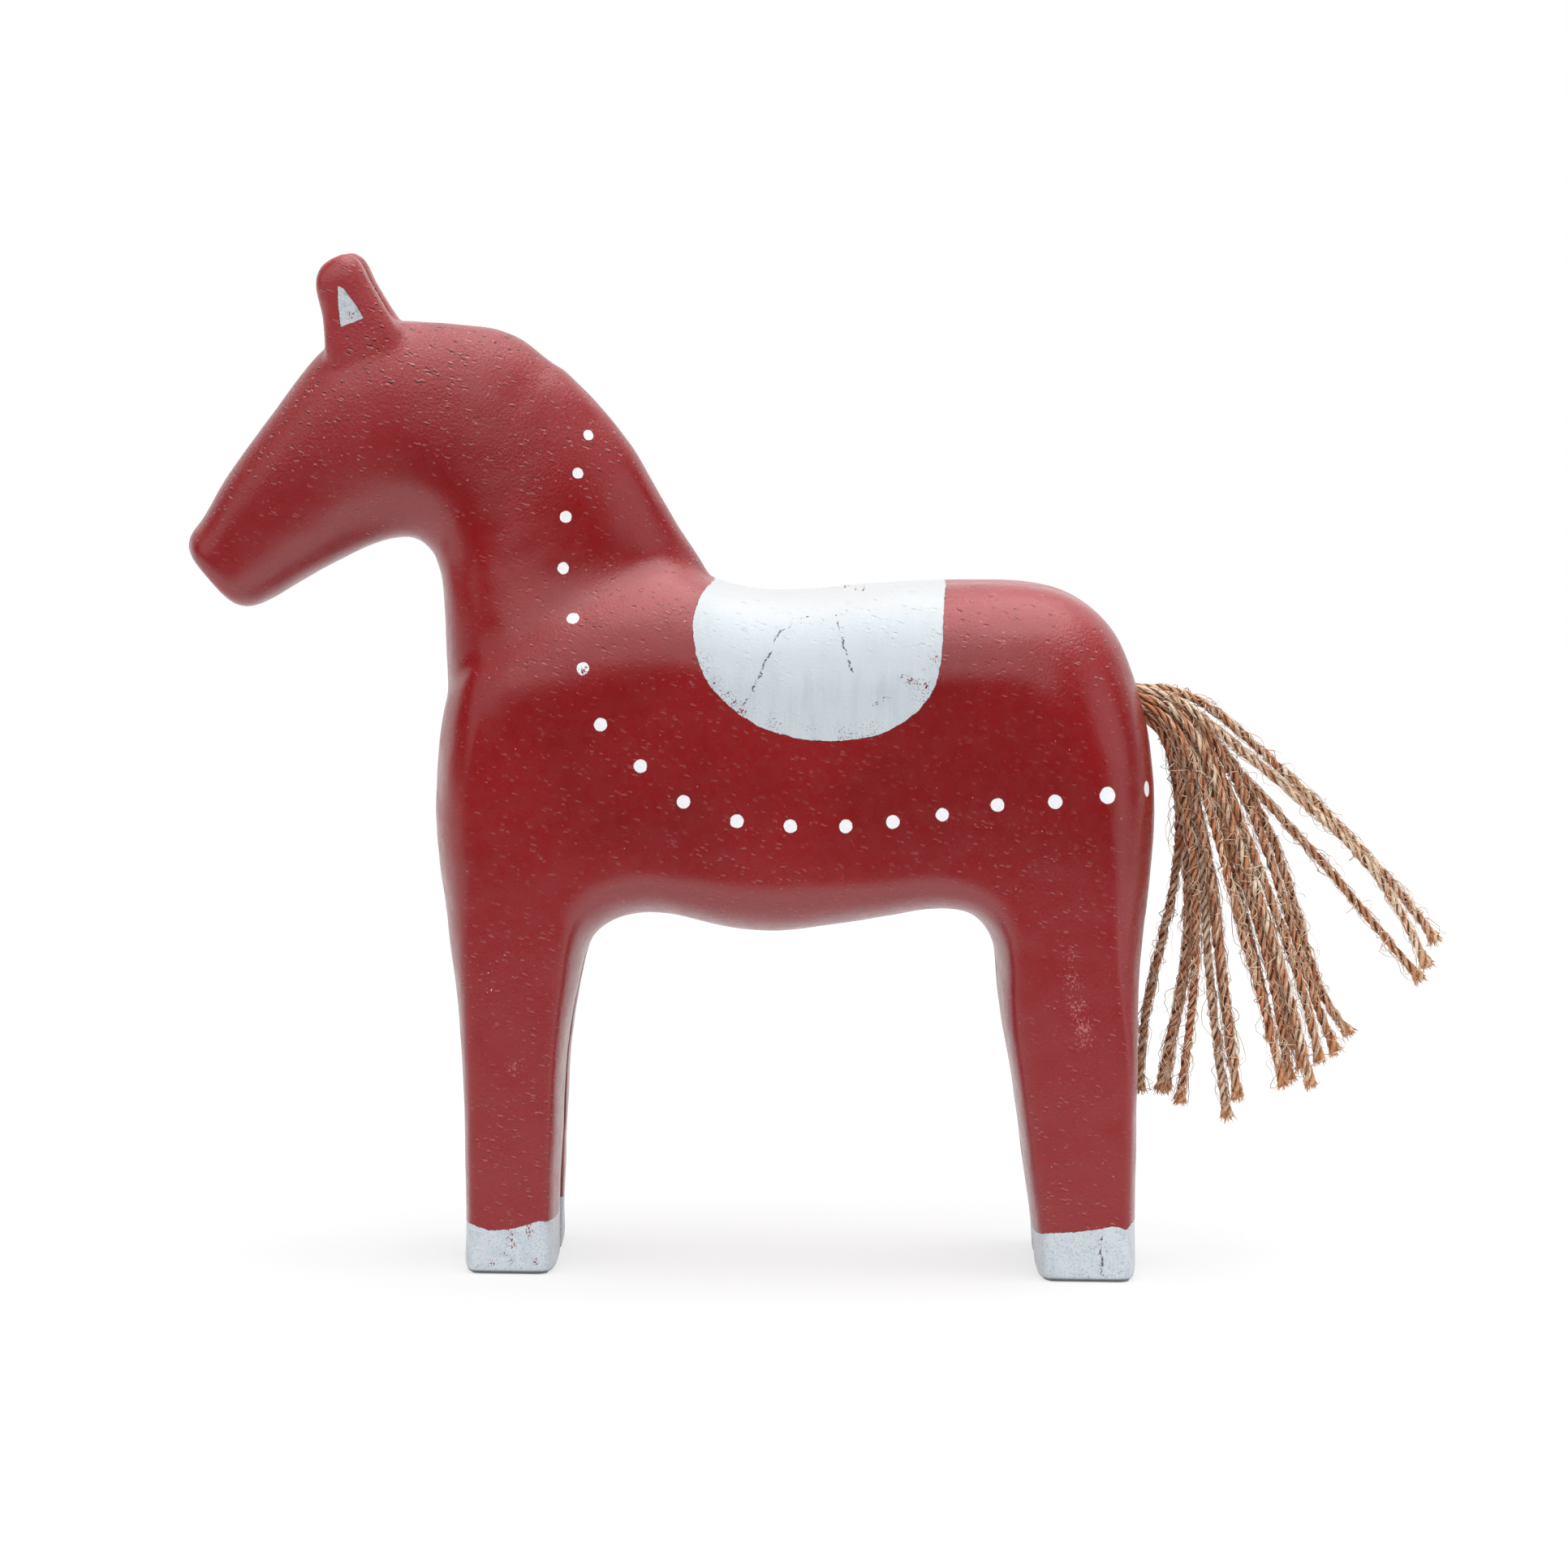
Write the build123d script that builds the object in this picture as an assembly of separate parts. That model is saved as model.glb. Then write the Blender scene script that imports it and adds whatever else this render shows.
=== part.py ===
from build123d import *
import math
import os

os.makedirs("parts", exist_ok=True)

# A toy horse carved from one block of wood, with a tail of cut jute twine glued into a hole in the rump.
# Millimetres. The origin is on the floor under the middle of the body. The nose points to -X and up is +Z.

# Overall sizes of the carved body
body_length = 193.0
body_height = 200.0
body_width = 56.0

# Trunk and legs
flat_band_width = 14.0
leg_gap_width = 9.0
leg_gap_height = 62.0
leg_edge_radius = 0.6
rounding_steps = 5

# How square the knife left the edges: a power of two is an ellipse, and a larger one is squarer. The edges change
# from the one to the other between two heights, which are shares of body_height.
body_edge_power = 2.0
leg_edge_power = 3.2
leg_edge_share = 0.20
body_edge_share = 0.33

# Head and neck
neck_blend_radius = 5.0
neck_section_power = 2.6
neck_section_points = 20
muzzle_edge_radius = 3.0
head_sections = 11

# Ears
ear_thickness = 9.6
ear_flat_thickness = 3.4
ear_spacing = 15.8
ear_side_share = 0.62
ear_blend_radius = 3.0

# Tail hole and the glue at its bottom
tail_hole_diameter = 8.4
tail_hole_depth = 14.0
tail_hole_flare = 0.8
glue_depth = 10.4
glue_clearance = 0.05
tail_mouth_share = 0.487
tail_height_share = 0.5635

# Twine
strand_diameter = 1.6
strand_sides = 6
arc_run_share = 0.45

# Length by which a cutter runs past what it cuts
overrun = 20.0

# Outline of the trunk and legs as shares of body_length and body_height, from the withers along the back, down
# the hind leg, under the belly, down the front leg and up the chest. The first point of each pair is on the
# silhouette, and the second is on the side face, where the knife stopped rounding.
trunk_outline_shares = [
    ((0.031, 0.686), (0.021, 0.588)),
    ((0.073, 0.672), (0.073, 0.578)),
    ((0.124, 0.670), (0.124, 0.575)),
    ((0.207, 0.677), (0.197, 0.578)),
    ((0.280, 0.681), (0.259, 0.580)),
    ((0.342, 0.682), (0.311, 0.580)),
    ((0.389, 0.677), (0.347, 0.574)),
    ((0.425, 0.662), (0.376, 0.561)),
    ((0.455, 0.634), (0.398, 0.542)),
    ((0.477, 0.590), (0.415, 0.515)),
    ((0.491, 0.540), (0.427, 0.483)),
    ((0.498, 0.485), (0.436, 0.450)),
    ((0.499, 0.430), (0.442, 0.410)),
    ((0.495, 0.380), (0.448, 0.368)),
    ((0.489, 0.330), (0.453, 0.320)),
    ((0.485, 0.250), (0.464, 0.246)),
    ((0.485, 0.125), (0.466, 0.125)),
    ((0.486, 0.000), (0.468, 0.000)),
    ((0.482, -0.040), (0.465, -0.040)),
    ((0.434, -0.075), (0.434, -0.060)),
    ((0.388, -0.040), (0.404, -0.040)),
    ((0.383, 0.000), (0.401, 0.000)),
    ((0.371, 0.100), (0.391, 0.100)),
    ((0.355, 0.200), (0.378, 0.200)),
    ((0.340, 0.287), (0.366, 0.291)),
    ((0.333, 0.330), (0.359, 0.339)),
    ((0.314, 0.353), (0.341, 0.375)),
    ((0.288, 0.359), (0.306, 0.394)),
    ((0.228, 0.351), (0.238, 0.396)),
    ((0.166, 0.341), (0.171, 0.391)),
    ((0.104, 0.334), (0.104, 0.388)),
    ((0.041, 0.342), (0.036, 0.393)),
    ((-0.016, 0.352), (-0.021, 0.398)),
    ((-0.049, 0.346), (-0.063, 0.391)),
    ((-0.074, 0.329), (-0.095, 0.367)),
    ((-0.088, 0.293), (-0.111, 0.310)),
    ((-0.100, 0.230), (-0.120, 0.234)),
    ((-0.106, 0.140), (-0.124, 0.140)),
    ((-0.108, 0.000), (-0.125, 0.000)),
    ((-0.112, -0.040), (-0.128, -0.040)),
    ((-0.157, -0.075), (-0.157, -0.060)),
    ((-0.200, -0.040), (-0.184, -0.040)),
    ((-0.204, 0.000), (-0.187, 0.000)),
    ((-0.205, 0.110), (-0.187, 0.110)),
    ((-0.210, 0.220), (-0.190, 0.220)),
    ((-0.222, 0.310), (-0.196, 0.310)),
    ((-0.233, 0.380), (-0.194, 0.380)),
    ((-0.240, 0.440), (-0.195, 0.440)),
    ((-0.238, 0.505), (-0.192, 0.492)),
    ((-0.231, 0.560), (-0.181, 0.530)),
    ((-0.212, 0.610), (-0.161, 0.557)),
    ((-0.171, 0.650), (-0.127, 0.577)),
    ((-0.114, 0.677), (-0.083, 0.588)),
    ((-0.041, 0.690), (-0.031, 0.592)),
]

# Sections of the head and neck, from the muzzle to inside the shoulder: crest point, throat point, half thickness
# as a share of body_width, and how much thinner the crest side is than the throat side.
neck_section_shares = [
    ((-0.505, 0.708), (-0.445, 0.643), 0.214, 0.00),
    ((-0.467, 0.767), (-0.398, 0.665), 0.229, 0.00),
    ((-0.427, 0.824), (-0.358, 0.688), 0.243, 0.00),
    ((-0.387, 0.877), (-0.324, 0.705), 0.257, 0.00),
    ((-0.355, 0.910), (-0.299, 0.715), 0.268, 0.00),
    ((-0.313, 0.930), (-0.282, 0.719), 0.275, 0.02),
    ((-0.254, 0.933), (-0.267, 0.719), 0.282, 0.05),
    ((-0.197, 0.929), (-0.255, 0.713), 0.289, 0.10),
    ((-0.168, 0.922), (-0.251, 0.709), 0.292, 0.13),
    ((-0.143, 0.907), (-0.247, 0.705), 0.296, 0.16),
    ((-0.117, 0.889), (-0.244, 0.699), 0.300, 0.19),
    ((-0.096, 0.871), (-0.242, 0.693), 0.304, 0.22),
    ((-0.054, 0.826), (-0.238, 0.680), 0.311, 0.27),
    ((-0.023, 0.780), (-0.236, 0.663), 0.321, 0.32),
    ((0.004, 0.735), (-0.234, 0.640), 0.336, 0.36),
    ((0.031, 0.695), (-0.232, 0.605), 0.350, 0.38),
    ((0.041, 0.650), (-0.230, 0.560), 0.357, 0.36),
    ((0.036, 0.600), (-0.220, 0.510), 0.321, 0.30),
]

# Outline of an ear from its front foot over the tip and down the back, in the same shares
ear_outline_shares = [
    (-0.355, 0.885),
    (-0.358, 0.915),
    (-0.361, 0.945),
    (-0.367, 0.970),
    (-0.362, 0.987),
    (-0.350, 0.996),
    (-0.336, 1.000),
    (-0.323, 0.993),
    (-0.314, 0.976),
    (-0.303, 0.958),
    (-0.292, 0.941),
    (-0.282, 0.925),
    (-0.285, 0.892),
    (-0.320, 0.875),
]

# Routes of the strands, millimetres, from the glue to the cut end
strand_routes = [
    [(90.5, 0, 115.54), (97.0, 0, 115.9), (103.6, 0.1, 114.2), (110.6, 0.2, 109.8), (119.4, 0.3, 101.8),
     (129.6, 0.3, 92.6), (139.2, 0.3, 82.6), (147.4, 0.4, 73.9), (153.3, 0.4, 65.8)],
    [(90.5, -1.64, 115.54), (96.6, -1.8, 115.3), (102.4, -2.2, 112.6), (108.9, -2.5, 107.4), (117.6, -2.8, 100.4),
     (127.6, -3.0, 92.4), (137.2, -3.2, 83.9), (145.6, -3.4, 73.2), (151.3, -3.5, 61.1)],
    [(90.5, 1.64, 115.54), (96.4, 1.8, 115.3), (102.0, 2.1, 112.6), (107.5, 2.4, 106.7), (113.4, 2.8, 98.8),
     (121.8, 3.1, 90.2), (131.8, 3.4, 79.6), (141.6, 3.6, 68.0), (150.7, 3.8, 57.5)],
    [(90.5, 2.46, 114.12), (95.9, 2.75, 114.0), (101.2, 3.8, 111.2), (107.0, 4.4, 106.0), (113.4, 4.9, 98.6),
     (119.4, 5.2, 88.6), (124.4, 5.3, 75.8), (128.3, 5.2, 61.4), (131.9, 5.0, 51.8), (136.8, 4.9, 46.3)],
    [(90.5, 0.82, 114.12), (96.0, 0.8, 113.95), (101.6, 0.6, 111.5), (106.8, 0.5, 106.8), (111.8, 0.5, 99.6),
     (116.8, 0.6, 90.0), (121.4, 0.8, 77.8), (125.6, 1.0, 65.2), (129.6, 1.2, 52.8), (133.8, 1.3, 43.0)],
    [(90.5, -0.82, 114.12), (96.0, -0.85, 113.9), (101.3, -1.0, 111.1), (106.0, -1.2, 105.9), (110.2, -1.4, 98.2),
     (114.4, -1.7, 88.4), (118.6, -1.9, 77.8), (123.0, -2.1, 66.4), (127.6, -2.2, 54.0), (130.5, -2.2, 41.5)],
    [(90.5, -2.46, 114.12), (95.8, -2.6, 113.85), (100.9, -3.1, 111.0), (105.2, -3.4, 105.6), (108.8, -3.7, 97.7),
     (112.4, -3.9, 87.8), (116.6, -4.1, 77.0), (120.8, -4.3, 65.4), (125.2, -4.4, 51.2), (128.7, -4.4, 36.9)],
    [(90.5, -3.28, 112.7), (95.2, -3.6, 112.4), (99.4, -4.2, 109.3), (102.9, -4.7, 104.2), (105.8, -5.1, 97.2),
     (108.6, -5.4, 88.0), (111.4, -5.7, 78.4), (114.4, -5.9, 67.4), (117.2, -6.0, 58.4), (120.4, -6.0, 47.6),
     (123.1, -6.0, 37.0)],
    [(90.5, -1.64, 112.7), (95.4, -1.7, 112.5), (100.0, -1.8, 109.5), (103.8, -2.1, 104.4), (107.4, -2.5, 97.0),
     (110.8, -2.8, 88.0), (114.4, -3.1, 78.4), (117.9, -3.3, 68.2), (120.9, -3.4, 57.0), (122.9, -3.4, 46.8),
     (124.5, -3.4, 37.8)],
    [(90.5, 0, 112.7), (95.5, 0, 112.5), (100.3, 0, 109.8), (104.5, 0, 104.8), (108.3, 0.1, 97.2),
     (112.0, 0.2, 88.0), (115.6, 0.3, 78.0), (119.4, 0.3, 66.4), (122.4, 0.3, 55.0), (124.8, 0.3, 43.6)],
    [(90.5, 1.64, 112.7), (95.5, 1.7, 112.5), (100.3, 1.8, 109.8), (104.6, 1.9, 104.8), (108.8, 2.1, 97.0),
     (113.0, 2.3, 87.6), (117.2, 2.5, 76.8), (121.0, 2.7, 64.8), (124.4, 2.8, 52.0), (127.4, 2.8, 39.4)],
    [(90.5, 3.28, 112.7), (95.2, 3.55, 112.45), (99.8, 3.9, 109.5), (103.6, 4.4, 104.4), (106.8, 4.8, 97.0),
     (109.8, 5.2, 88.0), (112.8, 5.5, 78.0), (116.0, 5.7, 67.0), (119.2, 5.8, 55.6), (121.4, 5.8, 45.0)],
    [(90.5, -2.46, 111.28), (95.0, -2.5, 111.05), (98.9, -2.7, 108.3), (101.8, -3.1, 103.4), (104.2, -3.6, 96.0),
     (106.6, -4.0, 86.4), (108.6, -4.3, 76.0), (110.2, -4.5, 63.6), (112.2, -4.6, 48.4), (114.1, -4.6, 34.2)],
    [(90.5, -0.82, 111.28), (95.0, -0.85, 111.1), (99.0, -1.0, 108.2), (101.9, -1.2, 103.2), (103.9, -1.5, 95.8),
     (105.6, -1.8, 86.0), (106.8, -2.0, 75.4), (107.6, -2.1, 64.4), (108.8, -2.1, 52.2), (110.6, -2.1, 40.6),
     (112.2, -2.1, 30.0)],
    [(90.5, 0.82, 111.28), (95.0, 0.85, 111.1), (99.0, 1.0, 108.2), (102.0, 1.2, 103.2), (104.4, 1.5, 95.8),
     (106.6, 1.8, 86.0), (108.4, 2.0, 75.0), (110.0, 2.1, 63.0), (111.8, 2.1, 50.4), (113.4, 2.1, 40.0)],
    [(90.5, 2.46, 111.28), (94.9, 2.6, 111.0), (98.8, 3.0, 108.1), (101.4, 3.5, 103.2), (103.2, 4.0, 95.8),
     (104.4, 4.3, 86.0), (104.9, 4.5, 75.0), (104.3, 4.6, 62.4), (102.6, 4.6, 50.0), (100.8, 4.5, 42.0),
     (100.3, 4.4, 34.5)],
    [(90.5, -1.64, 109.86), (94.7, -1.65, 109.75), (98.0, -2.0, 106.8), (100.2, -2.4, 102.2), (102.2, -2.8, 95.2),
     (104.0, -3.2, 85.4), (105.2, -3.4, 74.4), (105.4, -3.5, 62.0), (104.6, -3.5, 49.6), (103.5, -3.4, 40.6),
     (102.6, -3.4, 33.0)],
    [(90.5, 0, 109.86), (94.7, 0, 109.75), (98.0, -0.1, 106.8), (100.1, -0.2, 102.2), (101.6, -0.4, 95.0),
     (102.9, -0.6, 85.0), (103.7, -0.7, 74.0), (103.6, -0.8, 62.6), (102.0, -0.8, 52.0), (100.0, -0.7, 43.0),
     (98.8, -0.7, 35.0)],
    [(90.5, 1.64, 109.86), (94.7, 1.65, 109.75), (97.9, 1.8, 106.8), (100.0, 2.0, 102.2), (101.4, 2.2, 95.0),
     (102.0, 2.4, 85.0), (100.8, 2.5, 74.0), (98.6, 2.6, 64.0), (96.4, 2.6, 54.0), (95.0, 2.5, 44.0),
     (94.8, 2.4, 34.6)],
]


def side_view(share):
    """A point of the side view at real size."""
    return (share[0] * body_length, share[1] * body_height)


def smooth_face(points, parameters):
    """A flat face inside one smooth closed curve."""
    return Face(Wire([Edge.make_spline(points, periodic=True, parameters=parameters)]))


def curve_parameters(points):
    """Curve values in step with the distance round a closed row of points."""
    values = [0.0]
    for here, after in zip(points, points[1:] + points[:1]):
        values.append(values[-1] + math.dist(here, after))
    return values


def edge_power(height):
    """How square the edge is at a height, from the legs' power to the body's."""
    share = (height / body_height - leg_edge_share) / (body_edge_share - leg_edge_share)
    return leg_edge_power + min(max(share, 0), 1) * (body_edge_power - leg_edge_power)


def carved_slab(outline, side_face, middle_y, width, flat_width):
    """A piece sawn to an outline and rounded to a smaller face on each side."""
    flat = flat_width / 2
    turns = [step * math.pi / 2 / rounding_steps for step in range(rounding_steps + 1)]
    half = [math.sin(turn) for turn in turns]
    stations = [(-1, share) for share in reversed(half)] + [(0, 0)] + [(1, share) for share in half]
    parameters = curve_parameters(outline)
    slices = []
    for side, share in stations:
        y = middle_y + side * (flat + share * (width / 2 - flat))
        points = []
        for (x, z), (face_x, face_z) in zip(outline, side_face):
            power = edge_power(z)
            inset = 1 - (1 - share ** power) ** (1 / power)
            points.append((x + inset * (face_x - x), y, z + inset * (face_z - z)))
        slices.append(smooth_face(points, parameters))
    return loft(slices)


def signed_power(value, power):
    return math.copysign(abs(value) ** power, value)


def neck_section(crest, throat, half_thickness, crest_taper):
    """One rounded section across the head or neck, thinner towards the crest."""
    middle = ((crest[0] + throat[0]) / 2, (crest[1] + throat[1]) / 2)
    reach = (crest[0] - middle[0], crest[1] - middle[1])
    points = []
    for step in range(neck_section_points):
        turn = 2 * math.pi * step / neck_section_points
        along = signed_power(math.cos(turn), 2 / neck_section_power)
        across = signed_power(math.sin(turn), 2 / neck_section_power)
        thickness = half_thickness * (1 - crest_taper * along)
        points.append((middle[0] + along * reach[0], thickness * across, middle[1] + along * reach[1]))
    return smooth_face(points, list(range(neck_section_points + 1)))


def make_trunk():
    outline = [side_view(silhouette) for silhouette, side in trunk_outline_shares]
    side_face = [side_view(side) for silhouette, side in trunk_outline_shares]
    return carved_slab(outline, side_face, 0, body_width, flat_band_width)


def between(first, second, share):
    """The point a share of the way from the first point to the second."""
    return (first[0] + share * (second[0] - first[0]), first[1] + share * (second[1] - first[1]))


def make_muzzle_edge(front, back):
    """The rounded front edge of the muzzle, and the full section that it ends in."""
    crest, throat, half_share, taper = front
    back_crest, back_throat, back_half_share, back_taper = back
    crest, throat, back_crest, back_throat = map(side_view, (crest, throat, back_crest, back_throat))
    reach = muzzle_edge_radius / math.dist(between(crest, throat, 1 / 2), between(back_crest, back_throat, 1 / 2))
    sections = []
    for step in range(rounding_steps + 1):
        turn = step * math.pi / 2 / rounding_steps
        inset = muzzle_edge_radius * (1 - math.sin(turn))
        shift = reach * (1 - math.cos(turn))
        top = between(crest, back_crest, shift)
        bottom = between(throat, back_throat, shift)
        inset_share = inset / math.dist(top, bottom)
        half_thickness = body_width * (half_share + shift * (back_half_share - half_share)) - inset
        sections.append(
            neck_section(between(top, bottom, inset_share), between(bottom, top, inset_share), half_thickness, taper)
        )
    return loft(sections), sections[-1]


def make_head_and_neck():
    sections = [
        neck_section(side_view(crest), side_view(throat), share * body_width, taper)
        for crest, throat, share, taper in neck_section_shares
    ]
    muzzle, muzzle_end = make_muzzle_edge(neck_section_shares[0], neck_section_shares[1])
    head = loft([muzzle_end] + sections[1:head_sections])
    neck = loft(sections[head_sections - 1:])
    return muzzle + head + neck


def make_ear(side):
    outline = [side_view(share) for share in ear_outline_shares]
    middle_x = sum(x for x, z in outline) / len(outline)
    middle_z = sum(z for x, z in outline) / len(outline)
    side_face = [
        (middle_x + ear_side_share * (x - middle_x), middle_z + ear_side_share * (z - middle_z)) for x, z in outline
    ]
    return carved_slab(outline, side_face, side * ear_spacing / 2, ear_thickness, ear_flat_thickness)


def make_head_with_ears():
    head = make_head_and_neck()
    for side in (-1, 1):
        ear = make_ear(side)
        joined = head + ear
        head = joined.fillet(ear_blend_radius, new_edges(head, ear, combined=joined))
    return head


def make_leg_gap():
    """The saw cut between the near and far legs, with a round top."""
    radius = leg_gap_width / 2
    cut_length = body_length + 2 * overrun
    straight = leg_gap_height - radius + overrun
    slot = Pos(0, 0, straight / 2 - overrun) * Box(cut_length, leg_gap_width, straight)
    top = Pos(0, 0, leg_gap_height - radius) * Rot(0, 90, 0) * Cylinder(radius, cut_length)
    return slot + top


def make_tail_hole(diameter, start, length):
    """A cylinder along the tail hole, from a distance inside the rump outwards."""
    x = tail_mouth_share * body_length - start
    return Pos(x + length / 2, 0, tail_height_share * body_height) * Rot(0, 90, 0) * Cylinder(diameter / 2, length)


def make_body():
    floor_cut = Pos(0, 0, body_height / 2) * Box(body_length + overrun, body_width + overrun, body_height)
    sawn_block = make_trunk() & floor_cut
    leg_gap = make_leg_gap()
    trunk = sawn_block - leg_gap
    sole_edges = trunk.edges().group_by(Axis.Z)[0]
    gap_edges = new_edges(sawn_block, leg_gap, combined=trunk)
    trunk = trunk.fillet(leg_edge_radius, ShapeList(set(sole_edges) | set(gap_edges)))
    head = make_head_with_ears()
    body = trunk + head
    body = body.fillet(neck_blend_radius, new_edges(trunk, head, combined=body))
    hole = make_tail_hole(tail_hole_diameter, tail_hole_depth, tail_hole_depth + overrun)
    bored = body - hole
    return bored.fillet(tail_hole_flare, new_edges(body, hole, combined=bored).sort_by(Axis.X)[-1:])


def make_glue():
    return make_tail_hole(tail_hole_diameter - 2 * glue_clearance, tail_hole_depth, glue_depth)


def make_strand(route):
    """One length of twine: straight runs joined by arcs as large as the runs allow."""
    corners = [Vector(*point) for point in route]
    radii = []
    for before, here, after in zip(corners, corners[1:], corners[2:]):
        turn = math.radians((here - before).get_angle(after - here))
        shorter = min((here - before).length, (after - here).length)
        radii.append(arc_run_share * shorter / math.tan(turn / 2))
    path = FilletPolyline(*corners, radius=radii)
    start = Plane(origin=corners[0], z_dir=corners[1] - corners[0])
    section = start * RegularPolygon(strand_diameter / 2, strand_sides)
    strand = sweep(section, path)
    return strand, path.length, radii


def write(name, solid):
    export_step(solid, f"parts/{name}.step")


write("carved_body", make_body())
write("tail_glue", make_glue())
for number, route in enumerate(strand_routes, start=1):
    strand, length, radii = make_strand(route)
    write(f"tail_strand_{number:02d}", strand)
    print(f"strand {number:02d}: length {length:.1f}, smallest radius {min(radii):.1f}, volume {strand.volume:.1f}")
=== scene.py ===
import math
import random
from functools import partialmethod, reduce

import bpy
import numpy as np
from bpy.props import FloatProperty, FloatVectorProperty, IntProperty, PointerProperty
from mathutils import Matrix, Vector, noise
from mathutils.bvhtree import BVHTree


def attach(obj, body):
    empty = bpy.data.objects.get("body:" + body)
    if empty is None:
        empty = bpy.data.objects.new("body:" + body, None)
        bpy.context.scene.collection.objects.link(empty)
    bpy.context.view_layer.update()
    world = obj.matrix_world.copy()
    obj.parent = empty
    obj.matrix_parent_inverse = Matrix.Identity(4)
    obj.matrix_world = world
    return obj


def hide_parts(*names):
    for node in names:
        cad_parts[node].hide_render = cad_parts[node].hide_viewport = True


bl_info = {
    "name": "Carved toy horse",
    "version": (1, 0),
    "blender": (4, 5, 0),
    "location": "3D View > Sidebar > Toy horse",
    "description": "Paints a carved wooden toy horse and twists its twine tail",
    "category": "Object",
}

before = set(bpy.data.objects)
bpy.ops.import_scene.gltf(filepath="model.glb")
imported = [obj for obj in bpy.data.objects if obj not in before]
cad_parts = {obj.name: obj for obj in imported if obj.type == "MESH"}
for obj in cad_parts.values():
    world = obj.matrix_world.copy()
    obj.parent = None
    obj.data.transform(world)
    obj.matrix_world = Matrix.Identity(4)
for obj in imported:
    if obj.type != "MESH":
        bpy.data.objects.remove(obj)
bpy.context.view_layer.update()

MILLIMETRE = 0.001
FULL_TURN = 2 * math.pi
PHOTO_WIDTH = 1932
SENSOR_WIDTH = 36
WELD_DISTANCE = 0.000002
# Height over which the knife hollows begin above the flat soles
SOLE_FADE = 3 * MILLIMETRE


def srgb(red, green, blue):
    """A paint colour read as screen values from 0 to 255, as the linear colour that Blender uses."""
    linear = []
    for value in (red, green, blue):
        share = value / 255
        linear.append(share / 12.92 if share <= 0.04045 else ((share + 0.055) / 1.055) ** 2.4)
    return (*linear, 1.0)


# Paint marks on the near side, in pixels of the photograph. Each is put on the wood where the camera sees it,
# and the far side has the same marks.
garland_pixels = [
    (725, 536, 14), (712, 583, 14), (697, 637, 15), (694, 700, 15), (706, 762, 16), (718, 824, 16),
    (740, 893, 17), (789, 944, 17), (842, 988, 17), (908, 1012, 17), (974, 1018, 17), (1042, 1018, 17),
    (1100, 1013, 17), (1161, 1004, 17), (1229, 992, 17), (1300, 988, 18), (1365, 980, 21), (1413, 972, 20),
]
saddle_pixels = [
    (882, 711), (867, 728), (857, 750), (854, 770), (855, 790), (862, 820), (875, 845), (900, 872), (920, 886),
    (940, 897), (985, 910), (1030, 913), (1075, 908), (1105, 895), (1131, 876), (1147, 855), (1156, 833),
    (1161, 800), (1163, 750), (1165, 718),
]
front_hoof_pixels = [(580, 1507), (607, 1517), (640, 1512), (665, 1505), (684, 1499)]
hind_hoof_pixels = [(1275, 1516), (1300, 1519), (1325, 1518), (1350, 1515), (1373, 1511), (1388, 1515), (1394, 1507)]
ear_mark_pixels = [(416, 352), (423, 355), (441, 379), (448, 392), (420, 403), (417, 385)]
crack_pixels = [
    ((962, 778), (941, 822), 0.24), ((941, 822), (917, 868), 0.3), ((963, 778), (1008, 752), 0.14),
    ((1030, 758), (1041, 796), 0.24), ((1041, 796), (1049, 828), 0.24), ((1032, 725), (1078, 722), 0.13),
    ((1357, 1524), (1356, 1556), 0.26), ((1356, 1556), (1358, 1571), 0.42),
]
chip_pixels = [
    (914, 877, 13), (906, 866, 9), (897, 855, 6), (880, 842, 5), (870, 826, 5), (1113, 834, 7), (1120, 839, 9),
    (1130, 843, 8), (1142, 845, 11), (1090, 862, 6), (1080, 867, 6), (1152, 812, 7), (720, 827, 13), (436, 386, 9),
    (630, 1520, 9), (629, 1528, 10), (631, 1537, 9), (625, 1545, 6), (629, 1554, 7), (651, 1513, 9), (653, 1519, 9),
    (606, 1556, 8), (660, 1554, 9),
]
scuff_pixels = [
    (1320, 1176, 14), (1322, 1208, 17), (1326, 1240, 20), (1334, 1266, 21), (1337, 1284, 15), (634, 1316, 13),
]

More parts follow.
